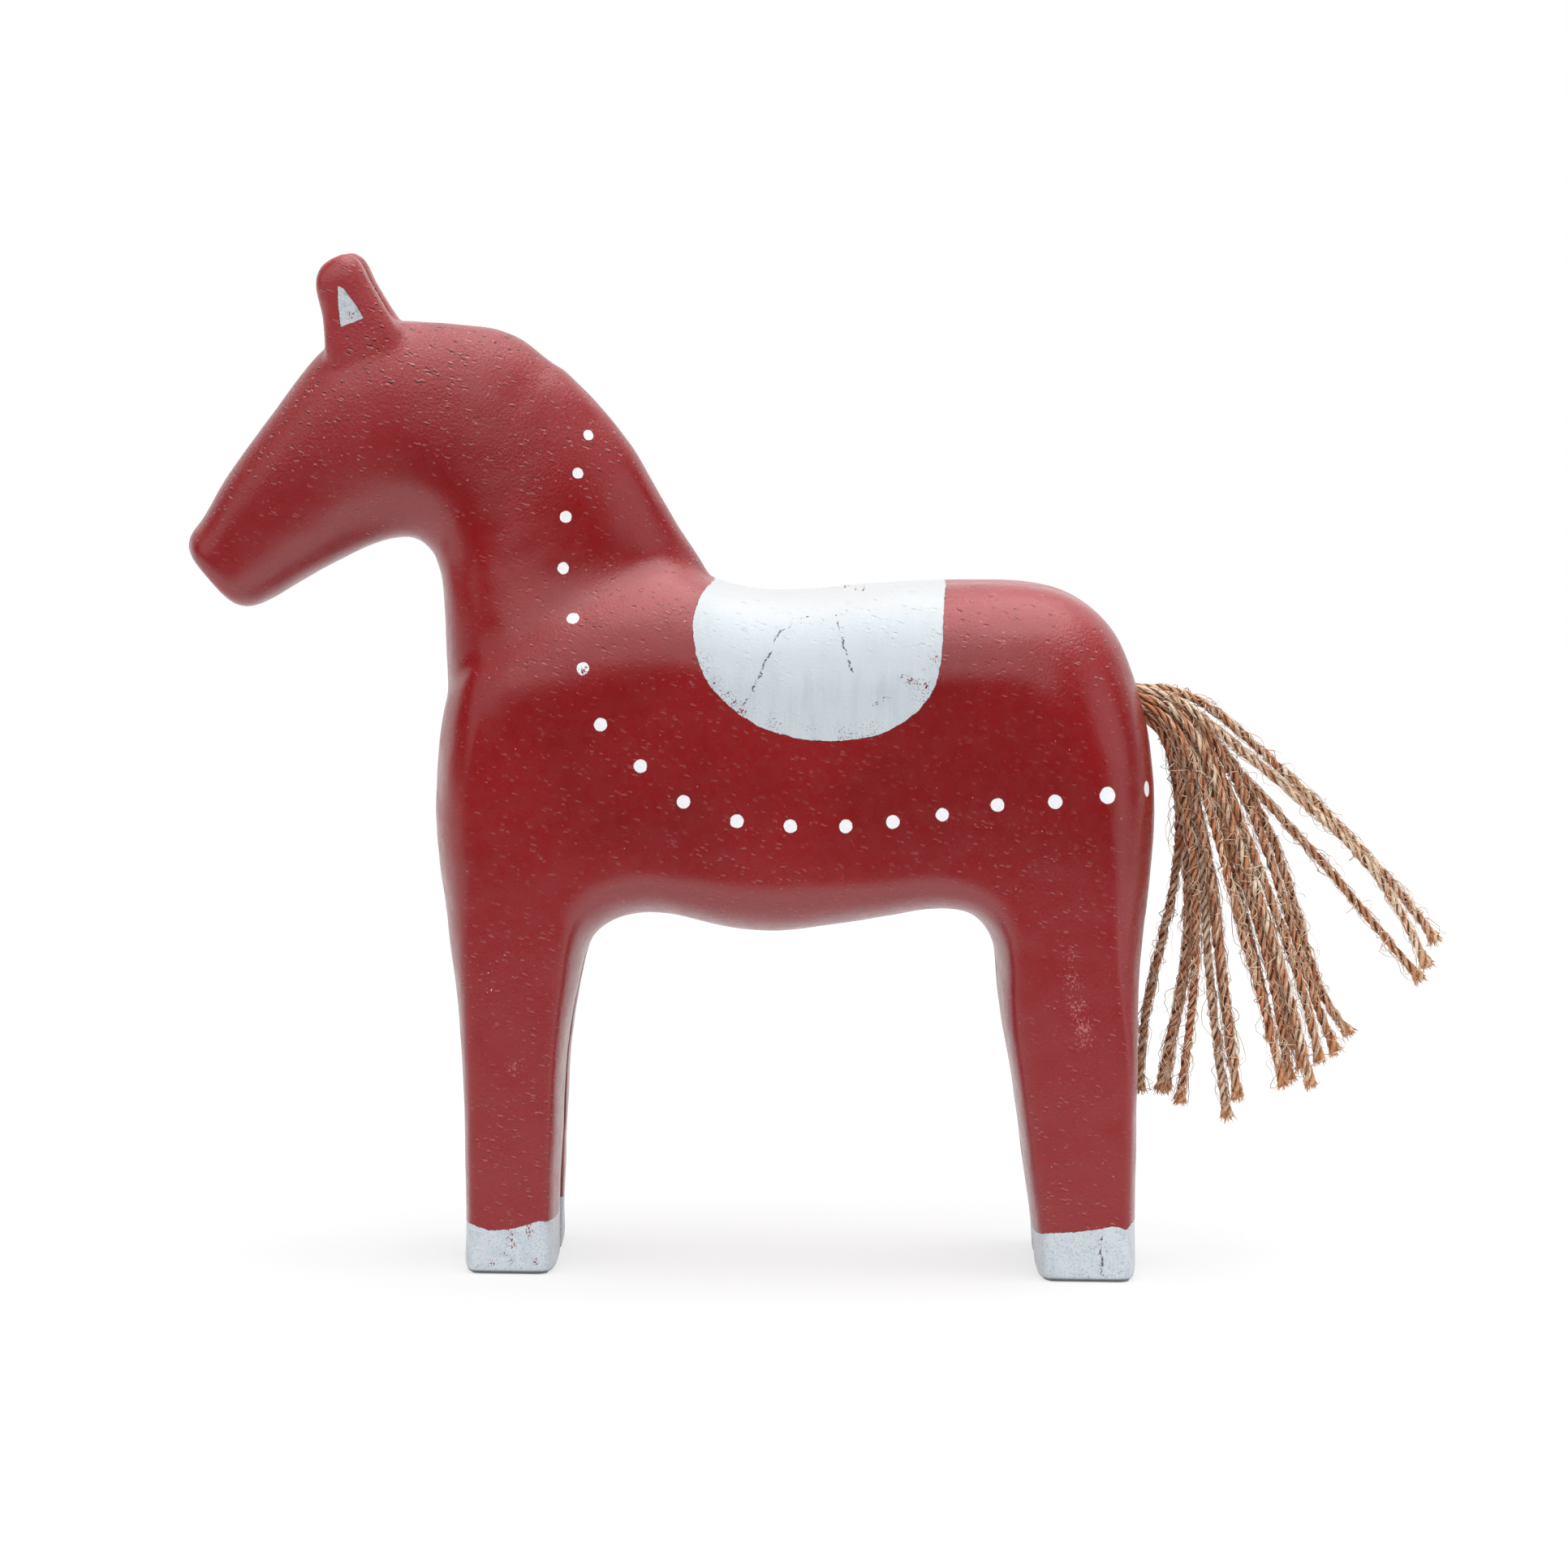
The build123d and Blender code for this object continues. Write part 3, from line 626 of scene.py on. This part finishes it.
def make_lights(context, settings):
    for name, energy, tilt, lean, spread in (
        ("overhead_softbox", settings.overhead, -5, 8, 66),
        ("camera_side_softbox", settings.fill, 48, -6, 56),
        ("tail_side_softbox", settings.tail_side, 16, 72, 46),
        ("head_side_softbox", settings.head_side, 25, -58, 50),
    ):
        bpy.ops.object.light_add(type="SUN", rotation=(math.radians(tilt), math.radians(lean), 0))
        lamp = context.active_object
        lamp.name = name
        lamp.data.energy = energy
        lamp.data.angle = math.radians(spread)
    world = bpy.data.worlds.new("dim room")
    context.scene.world = world
    world.use_nodes = True
    room = world.node_tree.nodes["Background"]
    room.inputs["Color"].default_value = (1, 1, 1, 1)
    room.inputs["Strength"].default_value = settings.room
    context.scene.view_settings.view_transform = "Standard"


class HORSE_OT_stage(bpy.types.Operator):
    """Sets up the camera, the lights and the white floor"""

    bl_idname = "horse.stage"
    bl_label = "Stage"

    def execute(self, context):
        settings = context.scene.horse.stage
        make_camera(context, settings)
        make_floor(context, settings)
        make_lights(context, settings)
        return {"FINISHED"}


def twine_line(route):
    """Evenly spaced points along the smooth line of a route."""
    curve = bpy.data.curves.new("twine_line", "CURVE")
    curve.dimensions = "3D"
    curve.resolution_u = 16
    spline = curve.splines.new("NURBS")
    spline.points.add(len(route) - 1)
    for point, place in zip(spline.points, route):
        point.co = (*(Vector(place) * MILLIMETRE), 1)
    spline.order_u = 3
    spline.use_endpoint_u = True
    line = bpy.data.objects.new("twine_line", curve)
    mesh = bpy.data.meshes.new_from_object(line)
    corners = [vertex.co.copy() for vertex in mesh.vertices]
    bpy.data.objects.remove(line)
    bpy.data.curves.remove(curve)
    bpy.data.meshes.remove(mesh)
    travelled = np.concatenate(([0], np.cumsum(lengths(corners))))
    count = int(travelled[-1] / TWINE_STEP) + 1
    stations = np.linspace(0, travelled[-1], count)
    columns = [np.interp(stations, travelled, column) for column in np.array(corners).T]
    return [Vector(place) for place in zip(*columns)]


def side_directions(points):
    """Two directions across the line at each point, turning with it as little as possible."""
    rows = []
    across = Vector((0, 1, 0))
    for before, after in zip([points[0]] + points[:-1], points[1:] + [points[-1]]):
        ahead = (after - before).normalized()
        across = (across - ahead * across.dot(ahead)).normalized()
        rows.append((across, ahead.cross(across)))
    return rows


def make_twine(settings, number, points):
    """Plies wound round each other along the points, opened at the cut end."""
    chance = random.Random(TWINE_SEED + number)
    radius = settings.diameter / 2
    spacing = (points[-1] - points[-2]).length
    last = len(points) - 1
    count = settings.ply_sides
    vertices, faces, along_ply, tones, grooves, ends = [], [], [], [], [], []
    start_turn = chance.uniform(0, FULL_TURN)
    lay = settings.lay * chance.uniform(0.8, 1.3)
    for ply in range(settings.plies):
        base = len(vertices)
        tone = chance.uniform(-0.45, 0.45) + pale_strands.get(number, 0)
        swell = chance.uniform(0.92, 1.1)
        for index, (point, sides) in enumerate(zip(points, side_directions(points))):
            travelled = index * spacing
            end_share = max(0, 1 - (last - index) * spacing / settings.fray)
            turn = start_turn + FULL_TURN * (travelled / lay + ply / settings.plies)
            turn += 1.5 * noise.noise((number * 3.1, 0.5, travelled * 60))
            turn += 0.6 * noise.noise((number * 3.1, ply * 7.7, travelled * 110))
            lumps = 1 + 0.13 * noise.noise((number * 5.3, ply * 2.9, travelled * 420))
            helix = radius * HELIX_SHARE * (1 + 0.95 * end_share ** 1.5)
            middle = point + helix * spoke(sides, turn)
            thick = radius * PLY_SHARE * swell * lumps * (1 + 0.28 * end_share)
            for side, place in enumerate(ring(middle, thick, sides, count)):
                vertices.append(place)
                along_ply.append((side / count, travelled / MILLIMETRE))
                tones.append(tone + 0.3 * end_share)
                ends.append(end_share ** 0.5)
                grooves.append(((helix + thick) - (place - point).length) / radius)
        faces.extend(tube_faces(base, len(points), count))
        faces.append(tuple(base + side for side in reversed(range(count))))
        faces.append(tuple(base + last * count + side for side in range(count)))
    twine = mesh_piece(f"twine_{number:02d}", vertices, faces)
    store_fibre_run(twine.data, along_ply, tones, grooves, ends)
    return twine


def make_fibres(settings, number, points):
    """Loose curly fibres along a twine and a brush of them at its cut end."""
    chance = random.Random(FIBRE_SEED + number)
    sides = side_directions(points)
    spacing = (points[-1] - points[-2]).length
    last = len(points) - 1
    vertices, faces, along_ply, tones, ends = [], [], [], [], []
    thickness = settings.fibre_diameter / 2

    def lay_fibre(route, tone, thick, end=0):
        base = len(vertices)
        reach = 0
        for index, place in enumerate(route):
            before = route[max(index - 1, 0)]
            after = route[min(index + 1, len(route) - 1)]
            ahead = (after - before).normalized()
            across = ahead.orthogonal().normalized()
            reach += (place - before).length
            fine = thick * (1 - 0.6 * index / (len(route) - 1))
            vertices.extend(ring(place, fine, (across, ahead.cross(across)), FIBRE_SIDES))
            along_ply.extend((side / FIBRE_SIDES, reach / MILLIMETRE) for side in range(FIBRE_SIDES))
        added = len(vertices) - base
        tones.extend([tone] * added)
        ends.extend([end] * added)
        faces.extend(tube_faces(base, len(route), FIBRE_SIDES))

    for fibre in range(settings.fibres):
        steps = chance.randint(9, 15)
        length = chance.uniform(4, 16) * MILLIMETRE
        start = chance.randint(int(FIRST_FIBRE / spacing), last - 8)
        turn = chance.uniform(0, FULL_TURN)
        twist = chance.uniform(-1, 1) * FULL_TURN
        loose = chance.random() ** 3.5
        free_end = chance.random() < FREE_SHARE
        bold = chance.random() < BOLD_SHARE
        if bold:
            length *= 0.6
            twist *= 1.7
        route = []
        for step in range(steps + 1):
            share = step / steps
            at = min(last, start + share * length / spacing)
            index = int(at)
            middle = points[index].lerp(points[min(index + 1, last)], at - index)
            lift = share ** 1.6 if free_end else math.sin(math.pi * share)
            away = settings.diameter * (0.54 + 0.06 * chance.random() + lift * (0.1 + 1.2 * loose))
            curl = turn + twist * share + 0.7 * math.sin(3 * share * math.pi + turn)
            route.append(middle + away * spoke(sides[index], curl))
        tone = 2.4 if bold else chance.uniform(-0.2, 1.2)
        lay_fibre(route, tone, thickness * (1.3 if bold else chance.uniform(0.6, 1.1)))
    tip = points[-1]
    ahead = (points[-1] - points[-4]).normalized()
    for fibre in range(TIP_FIBRES):
        angle = chance.uniform(0, FULL_TURN)
        spread = settings.diameter * 0.72 * math.sqrt(chance.random())
        outward = spoke(sides[-1], angle)
        root = tip - ahead * chance.uniform(0.4, 1.6) * MILLIMETRE + outward * spread
        length = chance.uniform(0.7, 1.9) * MILLIMETRE
        bend = outward * chance.uniform(0, 0.55)
        route = [root + ahead * (length * share) + bend * (length * share * share) for share in (0, 0.35, 0.7, 1)]
        lay_fibre(route, chance.uniform(-0.3, 0.7), thickness * chance.uniform(0.9, 1.7), end=1)
    fibres = mesh_piece(f"twine_{number:02d}_fibres", vertices, faces)
    store_fibre_run(fibres.data, along_ply, tones, [0] * len(vertices), ends)
    return fibres


def store_fibre_run(mesh, along_ply, tones, grooves, ends):
    """Keeps the place round and along each fibre as its UV map, and its tone, depth and cut end as attributes."""
    layer = mesh.uv_layers.new(name="fibre_run")
    for loop in mesh.loops:
        layer.data[loop.index].uv = along_ply[loop.vertex_index]
    set_attribute(mesh, "fibre_tone", tones)
    set_attribute(mesh, "groove", grooves)
    set_attribute(mesh, "cut_end", ends)


def jute_material(settings):
    material, net, shader = new_material("twisted jute")
    run = net.node("ShaderNodeUVMap", uv_map="fibre_run").outputs["UV"]
    fibre = net.group(jute_fibre_group(), Along=run, Tone=attribute(net, "fibre_tone"))
    shade = net.noise(object_position(net), 120, detail=1)
    colour = net.coats(
        settings.plain,
        (fibre.outputs["Dark"], settings.dark),
        (net.ramp(shade, 0.35, 0.65, 0, 0.35), srgb(196, 134, 90)),
        (fibre.outputs["Pale"], settings.pale),
        # Painted shade: darker deep in the grooves between the plies
        (net.ramp(attribute(net, "groove"), 0.02, 0.4, 0, 0.92), settings.dark),
        (net.times(attribute(net, "cut_end"), 0.55), srgb(226, 166, 112)),
    )
    relief = bump(net, fibre.outputs["Height"], 0.7, 0.00012)
    net.fill(shader, {"Base Color": colour, "Roughness": 0.82, "Specular IOR Level": 0.25, "Normal": relief})
    return material


def finish_glue(plug):
    material, net, shader = new_material("set glue")
    cloud = net.noise(object_position(net), 500, detail=3)
    colour = net.mix(cloud, srgb(214, 190, 140), srgb(188, 158, 104))
    roughness = net.ramp(cloud, 0.3, 0.7, 0.3, 0.5)
    net.fill(shader, {"Base Color": colour, "Roughness": roughness, "Normal": bump(net, cloud, 0.4, 0.0002)})
    plug.data.materials.clear()
    plug.data.materials.append(material)


class HORSE_OT_tail(bpy.types.Operator):
    """Twists the tail's twines and gives them loose fibres and frayed ends"""

    bl_idname = "horse.tail"
    bl_label = "Twine tail"

    def execute(self, context):
        settings = context.scene.horse.tail
        jute = jute_material(settings)
        for number, route in enumerate(strand_routes, start=1):
            points = twine_line(route)
            twine = make_twine(settings, number, points)
            fibres = make_fibres(settings, number, points)
            for piece in (twine, fibres):
                piece.data.materials.append(jute)
                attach(piece, "root")
            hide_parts(f"tail_strand_{number:02d}")
        finish_glue(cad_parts["tail_glue"])
        return {"FINISHED"}


def carve_wood(context):
    """A copy of the CAD body with a fine even skin and shallow knife hollows."""
    settings = context.scene.horse.body
    wood = bpy.data.objects.new("painted_wood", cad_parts["carved_body"].data.copy())
    context.scene.collection.objects.link(wood)
    select_only(wood)
    bpy.ops.object.mode_set(mode="EDIT")
    bpy.ops.mesh.select_all(action="SELECT")
    bpy.ops.mesh.remove_doubles(threshold=WELD_DISTANCE)
    bpy.ops.object.mode_set(mode="OBJECT")
    apply_modifier(wood, "even_skin", "REMESH", mode="VOXEL", voxel_size=settings.skin_size)
    apply_modifier(wood, "sanding", "SMOOTH", factor=0.5, iterations=settings.smoothing)
    soften_neck(wood, settings)
    mesh = wood.data
    mesh.update()
    normals = [vertex.normal.copy() for vertex in mesh.vertices]
    for vertex, normal in zip(mesh.vertices, normals):
        place = vertex.co / settings.carving_spread
        hollow = noise.noise(place) + 0.4 * noise.noise(place * 2.3)
        above_sole = max(0, min(1, vertex.co.z / SOLE_FADE))
        vertex.co += normal * (hollow * settings.carving_depth * above_sole)
    mesh.shade_smooth()
    return wood


def soften_neck(wood, settings):
    """Sands away the step between neck and shoulder in front of the withers, but not in the side view's outline."""
    x, y, z = places_of(wood).T
    shares = [np.interp(row, span, (0, 1, 1, 0)) for row, span in zip((x, np.abs(y), z), neck_step)]
    weights = np.prod(shares, axis=0)
    group = wood.vertex_groups.new(name="neck_step")
    for index in np.flatnonzero(weights > 0.01):
        group.add([int(index)], float(weights[index]), "REPLACE")
    apply_modifier(
        wood, "neck_sanding", "SMOOTH", factor=0.5, iterations=settings.neck_smoothing, vertex_group="neck_step"
    )


def places_of(wood):
    """Each vertex's place in millimetres."""
    table = np.zeros(len(wood.data.vertices) * 3)
    wood.data.vertices.foreach_get("co", table)
    return table.reshape(-1, 3) / MILLIMETRE


def side_view(places):
    return [(place.x / MILLIMETRE, place.z / MILLIMETRE) for place in places]


def mark_saddle(wood, photo):
    """Keeps the distance to the saddle's edge, which runs up over the back."""
    table = places_of(wood)
    outline = side_view(rounded_outline(photo.places(saddle_pixels)))
    above = table[:, 2].max()
    outline = [(outline[0][0], above)] + outline + [(outline[-1][0], above)]
    set_attribute(wood.data, "saddle_edge", signed_distance(table[:, [0, 2]], outline))


def mark_hooves(wood, photo):
    """Keeps the height above the top of the white hooves, which is negative on them."""
    table = places_of(wood)
    line = sorted(side_view(photo.places(front_hoof_pixels + hind_hoof_pixels)))
    set_attribute(wood.data, "hoof_edge", table[:, 2] - np.interp(table[:, 0], *zip(*line)))


def painted_material(settings, photo):
    material, net, shader = new_material("painted wood")
    place, both_sides = position_in_millimetres(net)
    edge_group = paint_edge_group()
    saddle_edge = attribute(net, "saddle_edge")
    hoof_edge = attribute(net, "hoof_edge")
    patches = [
        net.group(edge_group, Distance=distance, Position=place, Wobble=wobble, Rim_width=rim)
        for distance, wobble, rim in (
            (saddle_edge, 0.5, 0.16),
            (hoof_edge, 0.6, 0.16),
            (spots(net, both_sides, photo, garland_pixels), 0.3, 0.13),
            (ear_mark_distance(net, both_sides, photo), 0.3, 0.13),
        )
    ]
    white, rim = (reduce(net.larger, [patch.outputs[name] for patch in patches]) for name in ("Mask", "Rim"))
    dots, ear_marks = (patch.outputs["Mask"] for patch in patches[2:])
    # Where the white paint is off and the red shows
    chips = flecked(net, spots(net, both_sides, photo, chip_pixels), place, size=0.4, spread=7)
    white = net.times(white, net.minus(1, chips))
    cracks = crack_mask(net, both_sides, photo)
    height, slope = brushed_ridges(net, place)
    strength = ridge_strength(net, place, white)
    # Painted highlight on the ridges' up-facing sides and painted shade on their down-facing sides, as if lit from
    # above
    lit = net.times(net.ramp(slope, 0.06, 0.5), strength)
    shaded = net.times(net.ramp(slope, -0.06, -0.5), strength)
    mottle = net.noise(place, 0.35, detail=4)
    # Pale rubbed places on the red legs
    scuffs = flecked(net, spots(net, both_sides, photo, scuff_pixels), place, size=0.42, spread=12)
    red = net.coats(
        red_paint(net, settings, place, mottle),
        (net.times(lit, 0.6), srgb(212, 116, 118)),
        (net.times(shaded, 0.75), srgb(70, 8, 12)),
        (net.times(scuffs, 0.5), srgb(205, 140, 140)),
    )
    upward = facing_up(net)
    smudges = net.ramp(net.noise(place, 0.9), 0.5, 0.68, 0, 0.6)
    pale = net.coats(
        white_paint(net, settings, place, saddle_edge, hoof_edge),
        # Painted shade: the white is greyer the more it faces up, which holds it down where the light from above falls
        # strongest
        (net.ramp(upward, 0.1, 0.45, 0, 0.7), srgb(196, 204, 210)),
        (net.ramp(upward, 0.6, 0.95), srgb(210, 212, 214)),
        (net.times(smudges, ear_marks), srgb(150, 158, 170)),
        (dots, settings.dot_white),
        (net.times(lit, 0.4), srgb(240, 242, 244)),
        (net.times(shaded, 0.3), srgb(146, 154, 166)),
        (cracks, srgb(74, 72, 80)),
    )
    # Painted shade: a dark line along the lowest millimetre of the hooves, where they meet the floor
    sole = net.ramp(net.apart(place)[2], 0.5, 1.1, 0.9, 0)
    colour = net.coats(red, (white, pale), (net.times(rim, 0.8), settings.rim), (sole, srgb(58, 50, 48)))
    roughness = net.plus(net.ramp(mottle, 0.3, 0.7, 0.24, 0.31), net.times(white, 0.08))
    step = net.times(white, settings.white_depth / settings.ridge_depth)
    relief = net.minus(net.plus(net.times(height, strength), step), net.times(cracks, 0.8))
    relief = bump(net, relief, 0.9, settings.ridge_depth)
    net.fill(shader, {"Base Color": colour, "Roughness": roughness, "Specular IOR Level": 0.55, "Normal": relief})
    return material


def brushed_ridges(net, place):
    """Height of the brushed ridges, and how far their sides face up or down, which sets their painted highlight and
    painted shade.
    """
    group = brushed_ridges_group()
    settings = {"Size": 0.6, "Slant": math.radians(-16)}
    here = net.group(group, Position=place, **settings).outputs["Height"]
    above = net.group(group, Position=net.vector("ADD", place, (0, 0, RIDGE_STEP)), **settings).outputs["Height"]
    return here, net.minus(here, above)


def facing_up(net):
    """How far the surface faces up, from -1 to 1."""
    normal = net.node("ShaderNodeNewGeometry").outputs["Normal"]
    return net.vector("DOT_PRODUCT", normal, Vector((0, 0, 1)))


def red_paint(net, settings, place, mottle):
    """Red paint, deeper in broad patches, with white specks, a painted highlight on top, and paler painted light on
    the legs, belly and muzzle.
    """
    broad = net.noise(place, 0.03, detail=3)
    flecks = net.noise(place, 1.1, detail=4, roughness=0.7)
    height, upward = net.apart(place)[2], facing_up(net)
    legs = net.ramp(height, *LIT_LEGS, 1, 0)
    muzzle = net.ramp(net.vector("DOT_PRODUCT", place, (-1, 0, 0)), *LIT_MUZZLE)
    painted_highlight = net.larger(net.ramp(upward, 0.3, 1, 0, 0.36), net.ramp(height, *HIGHLIT_HEAD, 0, 0.28))
    return net.coats(
        settings.deep_red,
        (net.ramp(broad, 0.35, 0.65), settings.red),
        (net.ramp(mottle, 0.4, 0.7, 0, 0.16), settings.deep_red),
        (net.ramp(flecks, 0.6, 0.75, 0, 0.12), srgb(170, 50, 52)),
        # Painted light: paler red on the legs and muzzle, where the floor and the side lamps light them
        (net.larger(legs, muzzle), settings.painted_light_red),
        # Painted reflection: paler pink on surfaces that face down, as the white floor would show in them
        (net.ramp(upward, -0.4, 0.05, 0.45, 0), srgb(150, 76, 80)),
        # Painted highlight: pinker where the surface faces up and on the top of the head
        (painted_highlight, srgb(204, 88, 93)),
        (net.ramp(net.noise(place, 1.9, detail=1), 0.79, 0.81), srgb(222, 180, 178)),
    )


def white_paint(net, settings, place, saddle_edge, hoof_edge):
    """Bluish white paint with upright brush streaks, worn near the saddle's edge and on the hooves."""
    streaks = net.noise(net.vector("MULTIPLY", place, (0.55, 0.2, 0.07)), 1, detail=3)
    clouds = net.noise(place, 0.12, detail=3, roughness=0.6)
    thin = net.times(net.ramp(streaks, 0.4, 0.75), net.ramp(clouds, 0.35, 0.65, 0.2, 0.65))
    on_hoof = net.ramp(hoof_edge, -0.5, 0.5, 1, 0)
    worn = net.ramp(net.noise(place, 0.45, detail=5, roughness=0.65), 0.42, 0.7)
    thin = net.larger(thin, net.times(worn, net.times(on_hoof, 0.8)))
    pale = net.mix(thin, settings.white, settings.old_white)
    near_edge = net.times(net.ramp(saddle_edge, -5, -0.3), net.ramp(saddle_edge, 0, 0.5, 1, 0))
    patchy = net.ramp(net.noise(place, 0.22, detail=1), 0.42, 0.6)
    dirty = net.larger(net.times(near_edge, patchy), net.times(on_hoof, 0.35))
    grains = net.ramp(net.noise(place, 2.6), 0.57, 0.65)
    dirt = net.times(grains, net.plus(net.times(dirty, 0.85), 0.06))
    return net.mix(dirt, pale, srgb(96, 84, 88))


def ridge_strength(net, place, white):
    """Ridges are strong on the head, neck and top, weaker on the legs and flank, and softer in white paint."""
    height = net.apart(place)[2]
    high = net.ramp(height, *RIDGED_HEAD, 0.26, 1.1)
    low = net.ramp(height, *RIDGED_LEGS, 0.2, 0)
    low = net.plus(low, net.ramp(facing_up(net), 0.1, 0.6, 0, 0.6))
    patchy = net.ramp(net.noise(place, 0.06), 0.36, 0.64, 0.5, 1.25)
    strength = net.times(net.plus(high, low), patchy)
    return net.times(strength, net.ramp(white, 0, 1, 1, 0.7, smooth=False))


def spots(net, position, photo, marks):
    """Distance to the nearest of some round marks, less its radius."""
    distances = []
    for across, down, pixels in marks:
        middle = photo.place(across, down)
        radius = photo.size(pixels, middle) / 2 / MILLIMETRE
        distances.append(net.minus(net.vector("DISTANCE", position, folded(middle)), radius))
    return reduce(net.smaller, distances)


def flecked(net, distance, place, size, spread):
    """Clusters of tiny flecks of a size in millimetres, which thin out with the distance from some marks."""
    torn = net.minus(net.noise(place, 1 / size, roughness=0.6), 0.5)
    thinner = net.plus(distance, net.times(torn, spread))
    return net.ramp(thinner, -spread * 0.12, -spread * 0.09, 1, 0)


def crack_mask(net, both_sides, photo):
    group = crack_group()
    side_view = net.vector("MULTIPLY", both_sides, (1, 0, 1))
    masks = []
    for first, second, width in crack_pixels:
        ends = [folded(place) * Vector((1, 0, 1)) for place in photo.places((first, second))]
        masks.append(net.group(group, Position=side_view, From=ends[0], To=ends[1], Width=width).outputs[0])
    return reduce(net.larger, masks)


def ear_mark_distance(net, both_sides, photo):
    """Distance to the three-cornered mark on the outside of each ear."""
    corners = [folded(place).xz for place in photo.places(ear_mark_pixels)]
    middle = sum(corners, Vector((0, 0))) / len(corners)
    furthest = net.minus(EAR_INSIDE, net.apart(both_sides)[1])
    for here, after in zip(corners, corners[1:] + corners[:1]):
        outward = (after - here).orthogonal().normalized()
        if outward.dot(middle - here) > 0:
            outward = -outward
        reach = net.vector("DOT_PRODUCT", both_sides, (outward.x, 0, outward.y))
        side = net.minus(reach, outward.dot(here))
        furthest = net.math("SMOOTH_MAX", furthest, side, 0.35)
    return furthest


class HORSE_OT_body(bpy.types.Operator):
    """Sands the carved body and paints it red, with its white saddle, garland, ears and hooves"""

    bl_idname = "horse.body"
    bl_label = "Painted body"

    def execute(self, context):
        wood = carve_wood(context)
        photo = Photograph(context.scene.camera, wood)
        mark_saddle(wood, photo)
        mark_hooves(wood, photo)
        wood.data.materials.clear()
        wood.data.materials.append(painted_material(context.scene.horse.paint, photo))
        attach(wood, "root")
        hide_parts("carved_body")
        return {"FINISHED"}


class HORSE_PT_panel(bpy.types.Panel):
    """Shows the horse's operators and its settings"""

    bl_label = "Toy horse"
    bl_idname = "HORSE_PT_panel"
    bl_space_type = "VIEW_3D"
    bl_region_type = "UI"
    bl_category = "Toy horse"

    def draw(self, context):
        layout = self.layout
        for operator in operators:
            layout.operator(operator.bl_idname)
        for group in ("stage", "body", "paint", "tail"):
            settings = getattr(context.scene.horse, group)
            box = layout.box()
            box.label(text=group.capitalize())
            for name in type(settings).__annotations__:
                box.prop(settings, name)


operators = (HORSE_OT_stage, HORSE_OT_tail, HORSE_OT_body)
classes = (StageSettings, BodySettings, PaintSettings, TailSettings, HorseSettings, *operators, HORSE_PT_panel)


def register():
    for cls in classes:
        bpy.utils.register_class(cls)
    bpy.types.Scene.horse = PointerProperty(type=HorseSettings)


def unregister():
    del bpy.types.Scene.horse
    for cls in reversed(classes):
        bpy.utils.unregister_class(cls)


def main():
    register()
    bpy.ops.horse.stage()
    bpy.ops.horse.tail()
    bpy.ops.horse.body()


if __name__ == "__main__":
    main()
